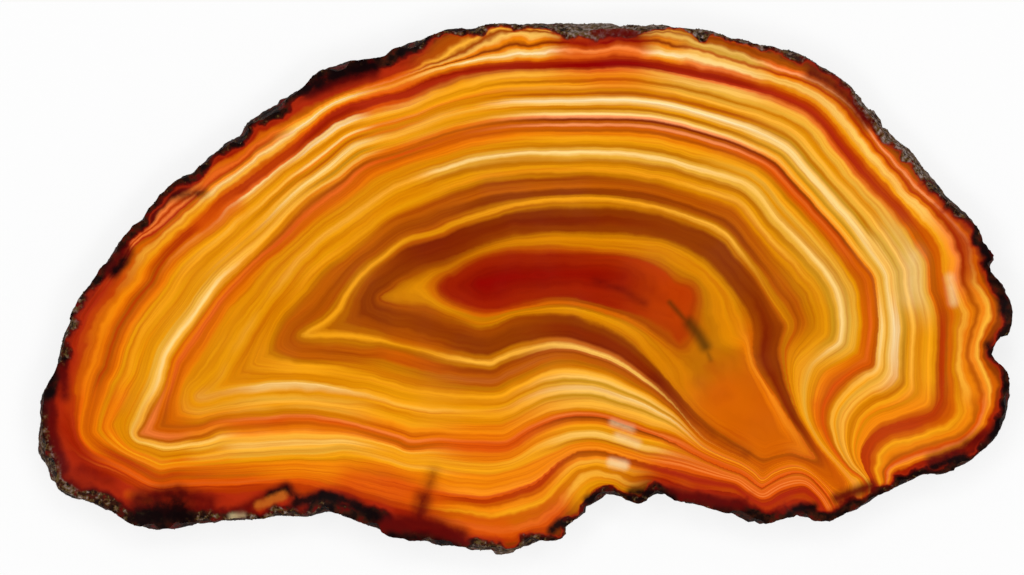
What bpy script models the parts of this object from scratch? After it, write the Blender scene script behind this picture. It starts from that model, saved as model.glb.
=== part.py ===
"""Agate slice: one slab sawn from a banded nodule, 107 mm long and 6 mm thick, lying on its back.

The two sawn faces are flat and parallel. The rim between them is the nodule's own rind, lumpy
and pitted. In places it leans outwards towards the back, where the nodule was still widening.
Everything is one stone, so it is one solid. Metres, +Z up, the polished face on top.
"""

from math import exp

import bmesh
import bpy
from mathutils import Vector, noise

MM = 0.001

NAME = "agate_slice"
COLLECTION = "Agate slice"
THICKNESS = 6.0 * MM
RIM_STEP = 0.65 * MM  # spacing of the points round the rim
RIM_CUTS = 6  # rings of points on the rim between the two faces
CURVE_STEPS = 8  # short lines that stand for the curve between two outline points

# The rim's lumps are rounded swellings of the rind, and its pits are where grains fell out.
LUMP_SIZE = 4.0 * MM
LUMP_DEPTH = 0.7 * MM
PIT_SIZE = 1.9 * MM
PIT_DEPTH = 0.55 * MM
PIT_START = 0.12  # where the pits' noise, from -1 to 1, is above this, a pit opens
PIT_STEEPNESS = 4.0
PIT_PLACE = Vector((7.0, 3.0, 1.0))  # moves the pits' noise away from the ledges' noise
LEDGE_SIZE = Vector((4.5, 4.5, 1.5)) * MM  # low ledges, where the rind broke along its layers
LEDGE_DEPTH = 0.22 * MM

# The widest outline of the stone, anticlockwise from its left end, in millimetres.
LEFT_END_AND_FOOT = [
    (-53.5, -15.8), (-53.4, -18.0), (-52.7, -20.1), (-51.5, -22.0), (-49.4, -23.4), (-47.6, -23.9),
    (-45.2, -24.8), (-43.2, -26.0), (-41.4, -26.6), (-39.3, -26.8), (-36.8, -26.5), (-33.5, -26.1),
    (-30.0, -25.8), (-26.3, -25.4), (-23.5, -25.2), (-21.7, -24.9), (-19.6, -25.4), (-17.4, -26.2),
    (-15.2, -27.3), (-12.8, -28.0), (-9.8, -28.5), (-7.6, -28.5), (-5.4, -29.1), (-2.6, -29.6),
    (-0.3, -29.2), (1.6, -28.3), (3.4, -28.2),
]
HOLLOW_IN_FOOT = [
    (4.7, -27.4), (5.1, -26.3), (6.2, -25.5), (7.0, -24.9), (7.2, -24.2), (8.4, -24.0),
    (9.4, -23.2), (10.4, -23.3), (11.4, -23.7), (12.9, -24.1), (14.2, -23.5), (15.4, -23.2),
    (16.6, -23.8), (18.3, -24.1), (20.2, -24.4), (21.8, -24.8), (23.4, -25.0), (25.0, -26.0),
    (26.4, -26.3), (28.2, -25.9), (29.4, -25.4), (31.6, -25.7), (33.8, -25.7), (35.4, -25.1),
    (37.3, -24.2), (39.2, -23.0), (41.2, -21.8), (43.8, -20.8), (45.6, -20.8), (48.2, -19.8),
    (50.4, -18.3),
]
RIGHT_END = [
    (52.0, -16.8), (53.0, -14.7), (53.5, -12.5), (53.6, -10.6), (52.9, -9.0), (52.0, -7.9),
    (51.6, -7.0), (52.1, -6.3), (53.1, -5.2), (53.6, -3.7), (53.5, -1.5), (52.6, 0.4),
    (51.5, 1.5), (51.5, 2.4), (51.9, 3.1), (50.8, 5.0), (50.1, 6.6), (48.0, 8.9), (46.4, 10.6),
    (44.8, 12.5), (43.1, 14.6), (41.2, 16.2), (39.8, 18.1), (38.3, 20.1), (36.6, 21.9),
    (34.8, 23.2),
]
CROWN = [
    (32.4, 24.7), (29.8, 25.8), (27.4, 26.4), (25.8, 26.6), (23.4, 27.4), (21.0, 28.0),
    (18.0, 28.5), (15.0, 29.0), (11.4, 29.4), (8.0, 29.3), (4.4, 29.0), (0.0, 29.1),
    (-3.4, 28.9), (-5.6, 28.5), (-7.6, 28.4), (-10.2, 27.5), (-13.2, 26.5), (-14.6, 26.0),
    (-15.4, 25.2), (-17.2, 25.0), (-19.6, 24.6), (-22.4, 23.6), (-23.9, 22.2), (-26.8, 20.5),
    (-28.5, 19.4), (-30.5, 18.1), (-31.3, 16.6), (-33.4, 15.0), (-35.9, 13.1), (-38.0, 11.7),
    (-40.1, 9.6), (-42.1, 7.4), (-44.2, 5.0), (-46.4, 2.0), (-48.2, -0.5), (-49.8, -3.4),
    (-51.0, -6.9), (-51.5, -9.2), (-52.8, -11.6), (-53.3, -13.6),
]

# Where the rim leans: x, y and reach in millimetres, then how much wider the back is there.
# A minus means that it tucks under, so the polished face is the wider one.
LEANS = [
    (9.0, 29.0, 8.0, 1.0),
    (40.0, 17.5, 8.0, 0.9),
    (47.5, 9.0, 3.0, 0.5),
    (-53.5, -18.0, 5.0, 0.9),
    (-35.0, -26.0, 5.0, 0.4),
    (-2.0, -29.0, 5.0, 0.7),
    (-28.5, 19.0, 4.0, 0.7),
    (52.0, -16.0, 5.0, 0.4),
    (-50.5, -6.0, 3.0, 0.3),
    (10.0, -23.5, 6.0, -0.6),
    (28.0, -26.0, 6.0, -0.5),
    (-14.0, -27.5, 5.0, -0.5),
    (-42.0, 8.0, 7.0, -0.7),
    (53.0, -2.0, 5.0, -0.5),
]

BANDED_AMBER = (0.72, 0.29, 0.03, 1.0)
POLISHED_ROUGHNESS = 0.15


def clear_scene():
    for old in list(bpy.data.objects):
        bpy.data.objects.remove(old)


def on_catmull_rom(before, start, end, after, share):
    """The point at this share of the way along the curve from start to end."""
    straight = (end - before) * share
    bend = (2 * before - 5 * start + 4 * end - after) * share**2
    twist = (3 * start - before - 3 * end + after) * share**3
    return 0.5 * (2 * start + straight + bend + twist)


def smooth_loop(corners):
    """Close points on the closed curve through the corners."""
    count = len(corners)
    found = []
    for i in range(count):
        four = [corners[(i + k) % count] for k in (-1, 0, 1, 2)]
        for k in range(CURVE_STEPS):
            found.append(on_catmull_rom(*four, k / CURVE_STEPS))
    return found


def evenly_spaced(loop, step):
    """Points at equal distances, close to step, along the closed loop."""
    ends = loop[1:] + loop[:1]
    lengths = [(end - start).length for start, end in zip(loop, ends)]
    count = round(sum(lengths) / step)
    spacing = sum(lengths) / count
    found = []
    travelled = 0.0
    for start, end, length in zip(loop, ends, lengths):
        while len(found) < count and len(found) * spacing < travelled + length:
            share = (len(found) * spacing - travelled) / length
            found.append(start.lerp(end, share))
        travelled += length
    return found


def sawn_slab():
    """The outline with the slice's thickness, as a mesh that stands on z = 0."""
    corners = [Vector(point) * MM for point in LEFT_END_AND_FOOT + HOLLOW_IN_FOOT + RIGHT_END + CROWN]
    points = evenly_spaced(smooth_loop(corners), RIM_STEP)
    curve = bpy.data.curves.new("outline", "CURVE")
    curve.dimensions = "2D"
    curve.fill_mode = "BOTH"
    curve.extrude = THICKNESS / 2
    spline = curve.splines.new("POLY")
    spline.points.add(len(points) - 1)
    for place, point in zip(spline.points, points):
        place.co = (point.x, point.y, 0.0, 1.0)
    spline.use_cyclic_u = True
    drawn = bpy.data.objects.new("outline", curve)
    drawn.location.z = THICKNESS / 2
    bpy.context.scene.collection.objects.link(drawn)
    bpy.context.view_layer.update()
    graph = bpy.context.evaluated_depsgraph_get()
    mesh = bpy.data.meshes.new_from_object(drawn.evaluated_get(graph))
    mesh.transform(drawn.matrix_world)
    bpy.data.objects.remove(drawn)
    mesh.name = NAME
    return mesh


def stands_up(edge):
    low, high = sorted(vertex.co.z for vertex in edge.verts)
    return high - low > THICKNESS / 2


def lean_at(place):
    """How much wider the back is than the polished face beside this place, in metres."""
    total = 0.0
    for x, y, reach, amount in LEANS:
        away = (place.xy - Vector((x, y)) * MM).length / (reach * MM)
        total += amount * MM * exp(-away * away)
    return total


def rind_depth(place):
    """How far inside the outline the rind lies at this place on the rim, in metres."""
    height = place.z / THICKNESS
    lean = lean_at(place)
    leaning = lean * height if lean > 0 else -lean * (1 - height)
    to_lump_top = noise.voronoi(place / LUMP_SIZE)[0][0]
    lump = LUMP_DEPTH * min(to_lump_top, 1.0) ** 2
    above_start = noise.noise(place / PIT_SIZE + PIT_PLACE) - PIT_START
    pit = PIT_DEPTH * min(max(above_start * PIT_STEEPNESS, 0.0), 1.0)
    in_ledges = Vector(along / size for along, size in zip(place, LEDGE_SIZE))
    ledge = LEDGE_DEPTH * noise.noise(in_ledges)
    return leaning + lump + pit + ledge


def roughen_rim(body):
    """Moves the rim's points level, by the rind's relief, so that both faces stay flat."""
    moves = []
    for vertex in body.verts:
        outwards = Vector()
        for face in vertex.link_faces:
            outwards += Vector((face.normal.x, face.normal.y, 0.0))
        if outwards.length > 0:
            moves.append((vertex, outwards.normalized() * -rind_depth(vertex.co)))
    for vertex, move in moves:
        vertex.co += move


def centre_on_origin(body):
    """Puts the middle of the stone's box over the origin."""
    xs = [vertex.co.x for vertex in body.verts]
    ys = [vertex.co.y for vertex in body.verts]
    middle = Vector(((min(xs) + max(xs)) / 2, (min(ys) + max(ys)) / 2, 0.0))
    bmesh.ops.translate(body, verts=body.verts, vec=-middle)


def banded_agate():
    """The middle colour of the amber bands. They are colour in the stone, so they aren't shaped."""
    made = bpy.data.materials.new("banded agate")
    made.use_nodes = True
    shader = made.node_tree.nodes["Principled BSDF"]
    shader.inputs["Base Color"].default_value = BANDED_AMBER
    shader.inputs["Roughness"].default_value = POLISHED_ROUGHNESS
    shader.inputs["Metallic"].default_value = 0.0
    return made


def agate_slice():
    mesh = sawn_slab()
    body = bmesh.new()
    body.from_mesh(mesh)
    bmesh.ops.remove_doubles(body, verts=body.verts, dist=0.001 * MM)
    bmesh.ops.recalc_face_normals(body, faces=body.faces)
    uprights = [edge for edge in body.edges if stands_up(edge)]
    bmesh.ops.subdivide_edges(body, edges=uprights, cuts=RIM_CUTS, use_grid_fill=True)
    roughen_rim(body)
    centre_on_origin(body)
    bmesh.ops.triangulate(body, faces=body.faces)
    body.to_mesh(mesh)
    body.free()
    mesh.materials.append(banded_agate())
    stone = bpy.data.objects.new(NAME, mesh)
    shelf = bpy.data.collections.new(COLLECTION)
    bpy.context.scene.collection.children.link(shelf)
    shelf.objects.link(stone)
    return stone


clear_scene()
agate_slice()
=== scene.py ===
# %% [markdown]
# # A slice of banded agate
#
# An agate grows from the outside of a hollow inwards. Silica settles on the wall as one thin band
# after another, and iron stains some of them red, brown or amber. A slice sawn from the nodule and
# polished on one face shows those bands like a contour map, with the rough rind of the nodule left
# all round the rim. This lesson dresses a plain solid of such a slice: first the mesh, then the
# bands, then the rind, and last the light.

# %% Load the plain slice
from math import cos, pi, radians, sin, sqrt

import bmesh
import bpy
import numpy as np
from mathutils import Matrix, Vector, geometry, kdtree, noise


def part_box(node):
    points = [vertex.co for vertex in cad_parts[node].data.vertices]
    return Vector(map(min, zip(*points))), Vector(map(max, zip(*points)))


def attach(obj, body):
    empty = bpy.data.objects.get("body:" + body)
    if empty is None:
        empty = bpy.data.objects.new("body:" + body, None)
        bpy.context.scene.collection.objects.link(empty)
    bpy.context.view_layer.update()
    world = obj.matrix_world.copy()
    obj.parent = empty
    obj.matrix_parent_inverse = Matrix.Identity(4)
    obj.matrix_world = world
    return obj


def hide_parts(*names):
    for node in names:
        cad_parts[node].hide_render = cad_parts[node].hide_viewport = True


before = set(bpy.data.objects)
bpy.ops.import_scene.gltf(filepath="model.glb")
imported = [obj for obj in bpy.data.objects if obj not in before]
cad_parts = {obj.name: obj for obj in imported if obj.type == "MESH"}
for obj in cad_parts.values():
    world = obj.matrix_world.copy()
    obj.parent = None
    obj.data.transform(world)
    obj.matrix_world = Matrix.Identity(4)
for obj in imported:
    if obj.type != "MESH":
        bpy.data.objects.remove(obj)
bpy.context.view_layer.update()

# %% [markdown]
# ## Sizes
#
# Everything is in metres, but a stone is easier to describe in millimetres, so lengths are written
# as a number times MM. The slice lies on its sawn back at z = 0, with the floor just below it.

# %% Sizes of the slice
MM = 0.001
BOTTOM, TOP = (corner.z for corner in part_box("agate_slice"))
print("the slice is", round((TOP - BOTTOM) / MM, 2), "mm thick")

# %% [markdown]
# ## The camera
#
# The photo looks straight down on the polished face, with almost no perspective. A long lens from
# a metre away does the same. Its focal length follows from what it has to take in: the photo is
# 1024 pixels wide and a pixel is 0.11 mm, so the view is 112.6 mm wide at the face.

# %% Camera
PHOTO_WIDTH = 1024
PIXEL = 0.11 * MM
CAMERA_HEIGHT = 1000 * MM
CAMERA_PLACE = (-1.155 * MM, -0.055 * MM)  # where the photo's middle falls on the slice
SENSOR_WIDTH = 36.0

eye = bpy.data.cameras.new("overhead camera")
eye.sensor_width = SENSOR_WIDTH
eye.lens = SENSOR_WIDTH * CAMERA_HEIGHT / (PHOTO_WIDTH * PIXEL)
camera = bpy.data.objects.new("overhead camera", eye)
camera.location = (*CAMERA_PLACE, TOP + CAMERA_HEIGHT)
bpy.context.scene.collection.objects.link(camera)
bpy.context.scene.camera = camera
bpy.context.scene.view_settings.view_transform = "Standard"
print("lens", round(eye.lens, 1), "mm")

# %% [markdown]
# ## Growth lines
#
# On the real stone every band is a line of equal age. Seven of them are drawn here, from
# the outside in, each as the corners that a smooth closed curve passes through, in millimetres.
# All seven run together into a narrow canal at the lower right, where the silica once flowed in.
# The bands between two lines are worked out later, so a few lines are enough to steer them all.

# %% Growth lines from the outside in
OUTER_DARK_LINE = [
    (-6, 26.1), (-2, 26.5), (4, 26.8), (10, 26.9), (15, 26.8), (19, 26.3), (23, 25.3), (27, 24.3),
    (30, 23.3), (33, 22), (36.5, 19.3), (38, 17.2), (41, 13.4), (43, 11.2), (46.5, 7.5), (48.2, 4.3),
    (48.3, 1.5), (49.2, -1.4), (50, -2.8), (49.3, -4.8), (49, -6.8), (49.2, -8.5), (50.4, -11),
    (50.2, -13), (49.3, -15), (47.5, -16.5), (44, -17.8), (41, -18.8), (39.7, -20), (39.6, -22.5),
    (38, -30), (33.5, -28), (32, -24.2), (30.3, -23.4), (28.6, -24), (27, -24.6), (25.4, -24.2),
    (23.6, -22.8), (21.5, -22.4), (18.5, -22.2), (16, -21.6), (14, -21.3), (12, -21.6), (10, -21),
    (8, -20.6), (6.3, -21.4), (4.6, -23.4), (2.8, -25.4), (0.5, -26.4), (-2.5, -27), (-5.5, -26.4),
    (-9, -25.6), (-12, -25.2), (-16, -24), (-20, -22.8), (-23, -22.8), (-27, -23.6), (-32, -24.2),
    (-38, -24.4), (-42, -24), (-46, -22.2), (-49.4, -20.4), (-51, -17.6), (-51, -14.5), (-50.2, -11.5),
    (-49.3, -8.6), (-48.4, -5), (-46.8, -2), (-44.6, 1), (-42.6, 3.9), (-40.4, 6.4), (-37.6, 9.2),
    (-34.4, 11.8), (-31.6, 13.6), (-29.5, 15.6), (-26.5, 17.6), (-23.4, 19.8), (-20.4, 21.6),
    (-16.4, 23), (-12.4, 24.6), (-9, 25.4),
]
BLOOD_RED_LINE = [
    (-46.8, -10), (-46, -8.5), (-45.3, -6), (-44.5, -4), (-42.5, -1), (-41, 0.7), (-40, 2.5),
    (-38.5, 4.3), (-37, 5.8), (-35, 7.5), (-33.5, 9.3), (-32, 10.3), (-30, 11.6), (-27, 14.1),
    (-25, 15.5), (-22, 18.3), (-20, 19.7), (-17, 20.6), (-13, 21.5), (-10, 22.9), (-6, 23.8),
    (-2, 24.3), (4, 24.4), (10, 24.7), (14, 24.4), (18, 23.6), (24, 22.2), (28, 21.2), (31, 19.9),
    (33, 18.2), (36, 14.4), (39, 11.1), (42, 7.8), (44, 4.9), (45.2, 2.8), (45.4, 0), (46.3, -3.2),
    (46.3, -8), (46.2, -11.5), (45.4, -13.6), (43.6, -14.5), (40, -15.5), (38.5, -16.4), (37.7, -17.4),
    (37.3, -18.5), (37.7, -20), (38.3, -21.3), (38.6, -23), (37, -30), (34.6, -27), (33, -24),
    (32, -22.8), (31, -22.1), (29.6, -22.4), (28.3, -22.9), (27.3, -23.6), (26.3, -23.8), (25.2, -23.3),
    (24.2, -22.5), (23.2, -21.8), (20.5, -21.3), (18, -20.7), (14.5, -19.7), (12, -19), (10, -18.4),
    (8, -17.95), (6, -18.2), (4, -19.3), (2.5, -20.7), (1, -21.8), (-1, -22.6), (-3, -23.2),
    (-5, -23.3), (-9, -22.9), (-13, -22.2), (-18, -21), (-24, -20.2), (-30, -20.4), (-35, -20.6),
    (-38, -20.6), (-40, -20.9), (-42, -19.9), (-45, -18.4), (-47, -17.3), (-48, -15.9), (-47.6, -13),
]
THIN_DARK_LINE = [
    (-42.3, -16.2), (-41.4, -14.9), (-40.5, -13.2), (-39.5, -11), (-38.9, -9), (-38.2, -7.2),
    (-36, -4.2), (-33.5, -0.8), (-30.5, 2.4), (-27.5, 5.6), (-25.5, 7.9), (-23, 10.2), (-20, 12.1),
    (-17.5, 13.9), (-13, 15.3), (-9, 16.7), (-5, 17.7), (0, 18.3), (6, 18.4), (12, 18.35),
    (16, 17.85), (20, 16.8), (24, 15.5), (27, 14.1), (28.5, 12.9), (30, 11.2), (34, 6.8), (37, 3.1),
    (38.4, 1.3), (38.7, 0), (39.1, -4), (38.85, -7), (38.6, -8.7), (37.5, -9.2), (36.3, -9.9),
    (35.2, -10.8), (34.3, -11.8), (33.6, -12.9), (33.3, -14), (33.3, -15.3), (33.8, -16.8),
    (34.7, -18.4), (36, -20), (37.6, -21.2), (38, -23), (36.6, -29), (35, -26), (33.6, -23.2),
    (32.5, -21.8), (31.3, -20.8), (30, -20.6), (28.5, -21.1), (27, -21.9), (26.3, -22.3),
    (25.5, -21.8), (24, -20.8), (22, -20.1), (20, -19.2), (18, -18.2), (15, -16.7), (12, -15.5),
    (9, -14.5), (7, -14.3), (5, -14.4), (3, -14.9), (1, -15.8), (-1, -17.1), (-2, -17.5),
    (-4, -17.5), (-9, -17.3), (-12.2, -17.6), (-14, -16.9), (-17, -16.1), (-20, -15.4), (-24, -15),
    (-28, -15.2), (-32, -15.4), (-33.5, -15.6), (-35, -16.3), (-37, -16.7), (-39, -17), (-41, -16.6),
]
CREAM_LINE = [
    (-35.6, -12), (-34.3, -11), (-33, -9.4), (-31.5, -6.8), (-30, -4.2), (-28, -1.5), (-25.3, 2.3),
    (-24, 3.8), (-22.5, 5.2), (-20, 7), (-17, 9.1), (-14, 11), (-10, 12.6), (-6, 13.9), (-3, 14.4),
    (2, 14.8), (10, 14.8), (15, 14.1), (19, 13.1), (23, 12), (25, 11.2), (26.2, 10), (28, 7.6),
    (31, 4.5), (33.5, 1.5), (34.6, -0.6), (35.1, -3.5), (35, -5.6), (34.5, -6.5), (32.9, -7.6),
    (31.8, -8.7), (31.2, -10.5), (31, -12), (31.1, -13.5), (31.6, -15), (32.6, -16.8), (34, -18.5),
    (36, -20.6), (37.2, -22), (37, -28), (35.5, -25.4), (34.2, -23), (32.8, -21.3), (31.3, -20.2),
    (30, -19.8), (28.7, -20), (27.5, -20.5), (26.4, -21.2), (25.5, -20.4), (24, -19.4), (22, -18.6),
    (20, -17.6), (19, -16.8), (17, -15), (15, -13.8), (13, -12.8), (11, -12.1), (8, -11.2),
    (5, -11.1), (2, -11.5), (0, -12.4), (-2, -13.4), (-4, -13.6), (-9, -13.6), (-12.5, -13.2),
    (-16, -12.2), (-20, -11.2), (-24, -10.6), (-28, -10.7), (-32, -11.4), (-34, -11.8),
]
AMBER_LINE = [
    (-24.3, -5.3), (-23.7, -5), (-22.3, -4.2), (-21.3, -3.5), (-20.5, -2.6), (-19.7, -1.3),
    (-18.8, 0), (-18, 1), (-16.7, 2.2), (-15.5, 3.1), (-13.6, 4.6), (-12.4, 5.2), (-10, 5.9),
    (-6, 7.5), (-2, 8.7), (2, 9.5), (7, 9.8), (12, 9.4), (16, 8.5), (20, 7.2), (22.2, 6),
    (24, 3.8), (26, 1.2), (27.2, -1), (28.6, -3), (29.3, -4.3), (28.9, -5.8), (28.7, -7.2),
    (29, -9.8), (29.6, -12), (30.4, -14), (31.5, -15.9), (32.6, -17.6), (33.8, -19), (34.8, -20.3),
    (35.6, -21.6), (35.4, -22.7), (34.4, -22.4), (32.6, -20.8), (31, -19.6), (29.5, -19.2),
    (28.2, -19.5), (27.3, -20), (26.4, -20.6), (25.5, -19.8), (24, -18.9), (22, -18), (20, -16.9),
    (18.7, -15.6), (17, -13.5), (15, -11.5), (13, -9.9), (11, -8.5), (8, -7.2), (5, -6.45),
    (2, -6.5), (0, -7), (-2.5, -7.9), (-3.5, -8.4), (-5, -8.25), (-9, -7.5), (-13, -6.5),
    (-16, -5.8), (-19, -5.4), (-22, -5.3), (-23.6, -5.4),
]
LENS_LINE = [
    (-15.6, -1.2), (-14.6, -0.4), (-13, 1), (-10, 2.4), (-6, 4), (-2, 5.3), (2, 6), (7, 6.25),
    (12, 5.8), (16, 5), (19.5, 3.5), (21.5, 1.4), (23.5, -1), (24.9, -3), (25.2, -5), (25.2, -7),
    (25.8, -9), (26.8, -10.6), (27.8, -12.1), (29, -14), (30.4, -16.1), (31.4, -17.6), (32.2, -18.9),
    (31, -18.7), (29.5, -18.2), (28, -18.4), (26.5, -18.7), (25, -17.9), (23.5, -17), (22, -16),
    (20.5, -14.9), (19, -13.6), (17, -11.4), (15, -9.1), (13, -7), (11, -5.4), (8, -3.8), (5, -3.1),
    (2, -3), (-0.5, -3.2), (-2.4, -3.9), (-4, -4.5), (-5.5, -4.4), (-8.5, -3.2), (-11, -2.1),
    (-13.5, -1.5),
]
CORE_LINE = [
    (-9.3, 0), (-8, 1.5), (-6, 2.7), (-2, 3.9), (3, 4.4), (8, 4.2), (12, 3.8), (15, 3), (17.5, 1.5),
    (18.9, 0.2), (19.3, -1.5), (18.9, -3.6), (18.2, -5.6), (17.4, -6.6), (16, -6), (13, -4.3),
    (9, -2.9), (5, -1.9), (1, -2), (-3, -2.5), (-6, -2.2), (-8.5, -1.2),
]
HEART_OF_CORE = [(-4.5, 0.5), (0, 1.2), (6, 1.5), (11, 1.2)]

GROWTH_LINES = [
    OUTER_DARK_LINE, BLOOD_RED_LINE, THIN_DARK_LINE, CREAM_LINE, AMBER_LINE, LENS_LINE, CORE_LINE,
]
print(len(GROWTH_LINES), "growth lines with", sum(map(len, GROWTH_LINES)), "corners")

# %% [markdown]
# The lines are smoothed with a Catmull-Rom curve, which passes through every corner and needs no
# handles. It is then cut into short even steps, so that the nearest step to any place gives the
# distance to the line.

# %% Smooth lines and even steps
CURVE_STEPS = 8
LINE_STEP = 0.1  # millimetres


def smooth_line(corners, closed=True):
    """Close points on the curve through the corners, in millimetres."""
    points = np.array(corners, float)
    count = len(points)
    share = (np.arange(CURVE_STEPS) / CURVE_STEPS)[:, None]
    pieces = []
    for i in range(count if closed else count - 1):
        near = [i - 1, i, i + 1, i + 2]
        near = [k % count for k in near] if closed else [min(max(k, 0), count - 1) for k in near]
        before, start, end, after = points[near]
        bend = 2 * before - 5 * start + 4 * end - after
        twist = 3 * start - before - 3 * end + after
        pieces.append(0.5 * (2 * start + (end - before) * share + bend * share**2 + twist * share**3))
    return np.vstack(pieces) if closed else np.vstack(pieces + [points[-1:]])


def even_steps(line, closed=True, step=LINE_STEP):
    """The line again, as points at equal distances."""
    along = np.vstack([line, line[:1]]) if closed else line
    lengths = np.linalg.norm(np.diff(along, axis=0), axis=1)
    travelled = np.concatenate([[0], np.cumsum(lengths)])
    count = int(travelled[-1] / step)
    places = np.linspace(0, travelled[-1], count, endpoint=not closed)
    return np.column_stack([np.interp(places, travelled, along[:, k]) for k in (0, 1)])


smooth_lines = [smooth_line(line) for line in GROWTH_LINES]
print("the thin dark line has", len(even_steps(smooth_lines[2])), "steps")

# %% [markdown]
# ## The rough rim
#
# The CAD solid already has the rim's lumps and ledges, with a point every 0.65 mm. A real rind is
# grainy well below that. The rim is cut finer, and each point is then moved by two noises, one the
# size of a sand grain and one smaller. The points on the two sawn edges only move level, so that
# both faces stay flat. The CAD mesh comes as loose triangles, so its copy is merged first. Beside
# the photo the solid's outline is a hair too small and too high, so the copy is also grown by half a
# percent and moved by a quarter of a millimetre.

# %% Finer rim with grainy relief
RIM_CUTS = 2
GRAIN_RELIEFS = [  # size and depth of the relief
    (0.9 * MM, 0.11 * MM),
    (0.4 * MM, 0.07 * MM),
]
RIM_GROWTH = 1.005
RIM_MOVE = Vector((0.165 * MM, -0.20 * MM))
TOUCH = 0.001 * MM

stone = bmesh.new()
stone.from_mesh(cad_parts["agate_slice"].data)
bmesh.ops.remove_doubles(stone, verts=stone.verts, dist=TOUCH)
for vertex in stone.verts:
    vertex.co.xy = vertex.co.xy * RIM_GROWTH + RIM_MOVE


def lies_flat(face):
    heights = [vertex.co.z for vertex in face.verts]
    return max(heights) - min(heights) < TOUCH


bmesh.ops.delete(stone, geom=[face for face in stone.faces if lies_flat(face)], context="FACES")
bmesh.ops.subdivide_edges(stone, edges=stone.edges[:], cuts=RIM_CUTS, use_grid_fill=True)
bmesh.ops.triangulate(stone, faces=stone.faces[:])
stone.normal_update()


def grain_relief(place):
    """How far the rind's grain stands out at this place, in metres."""
    return sum(depth * noise.noise(place / size) for size, depth in GRAIN_RELIEFS)


for vertex, way in [(vertex, vertex.normal.copy()) for vertex in stone.verts]:
    if min(vertex.co.z - BOTTOM, TOP - vertex.co.z) < TOUCH:
        way.z = 0.0
    vertex.co += way.normalized() * grain_relief(vertex.co)
print("rim:", len(stone.faces), "triangles")

# %% [markdown]
# ## The two sawn faces
#
# The bands are stored as a number on every point of the face, so the face needs points all over,
# not only round its edge. A honeycomb of points fills the outline evenly, and a Delaunay
# triangulation joins it to the rim. The polished face gets close points, and closer ones in the
# canal, where thirty bands squeeze through a few millimetres. The back can do with fewer.

# %% Faces filled with even triangles
FACE_SPACING = 0.36  # millimetres
FINE_SPACING = 0.18
BACK_SPACING = 0.9
FINE_BOXES = [(17.0, -26.5, 40.0, -13.0), (15.0, -9.5, 22.5, -0.5)]  # the canal, and a slit beside the core
RIM_CLEARANCE = 0.55  # in spacings, between the rim and the first honeycomb point
ROW_PITCH = sqrt(0.75)  # in spacings, between two rows of a honeycomb
MERGED = 1e-6  # millimetres, so that no two points become one


def rim_loop(height):
    """The mesh's points round the edge at this height, in order."""
    edge_of = {}
    for edge in stone.edges:
        if edge.is_boundary and abs(edge.verts[0].co.z - height) < TOUCH:
            for vertex in edge.verts:
                edge_of.setdefault(vertex, []).append(edge)
    start = next(iter(edge_of))
    loop = [start]
    edge = edge_of[start][0]
    while True:
        vertex = edge.other_vert(loop[-1])
        if vertex is start:
            return loop
        loop.append(vertex)
        edge = next(other for other in edge_of[vertex] if other is not edge)


def anticlockwise(loop):
    """The loop of points, turned round if it runs clockwise."""
    x, y = np.array([vertex.co.xy for vertex in loop]).T
    return loop if (x * np.roll(y, -1) - y * np.roll(x, -1)).sum() > 0 else loop[::-1]


def inside_loop(points, loop):
    """Which points lie inside the closed loop, by counting crossings towards +X."""
    x, y = points[:, 0], points[:, 1]
    within = np.zeros(len(points), bool)
    for (x0, y0), (x1, y1) in zip(loop, np.roll(loop, -1, axis=0)):
        if y0 != y1:
            crossed = (y0 > y) != (y1 > y)
            within ^= crossed & (x < x0 + (y - y0) * (x1 - x0) / (y1 - y0))
    return within


def distance_to(line, points):
    """Each point's distance to the nearest step of the line."""
    tree = kdtree.KDTree(len(line))
    for i, (x, y) in enumerate(line):
        tree.insert((x, y, 0.0), i)
    tree.balance()
    return np.array([tree.find((x, y, 0.0))[2] for x, y in points])


def honeycomb(corners, spacing):
    """Points of a honeycomb in the box, in millimetres."""
    left, low, right, high = corners
    rows = np.arange(low, high, spacing * ROW_PITCH)
    columns = np.arange(left, right, spacing)
    x, y = np.meshgrid(columns, rows)
    x[1::2] += spacing / 2
    return np.column_stack([x.ravel(), y.ravel()])


def in_box(points, corners):
    left, low, right, high = corners
    x, y = points[:, 0], points[:, 1]
    return (x > left) & (x < right) & (y > low) & (y < high)


def fill_face(height, spacing, fine):
    """Closes the edge at this height with even triangles, and returns its loop in millimetres."""
    ring = anticlockwise(rim_loop(height))
    outline = np.array([vertex.co.xy for vertex in ring]) / MM
    box = (*outline.min(axis=0), *outline.max(axis=0))
    wide = honeycomb(box, spacing)
    for corners in FINE_BOXES:
        wide = wide[~in_box(wide, corners)]
    places = []
    for points, gap in [(wide, spacing)] + [(honeycomb(corners, fine), fine) for corners in FINE_BOXES]:
        points = points[inside_loop(points, outline)]
        places.append(points[distance_to(even_steps(outline), points) > RIM_CLEARANCE * gap])
    points = np.vstack([outline, *places])
    triangles = geometry.delaunay_2d_cdt(
        [Vector(point) for point in points], [], [list(range(len(ring)))], 1, MERGED, True
    )
    corners, faces, sources = triangles[0], triangles[2], triangles[3]
    verts = []
    for corner, source in zip(corners, sources):
        if source and source[0] < len(ring):
            verts.append(ring[source[0]])
        else:
            verts.append(stone.verts.new((corner.x * MM, corner.y * MM, height)))
    middles = np.array([sum((corners[i] for i in face), Vector((0, 0))) / 3 for face in faces])
    for face, kept in zip(faces, inside_loop(middles, outline)):
        if kept:
            stone.faces.new([verts[i] for i in face])
    return outline


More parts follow.
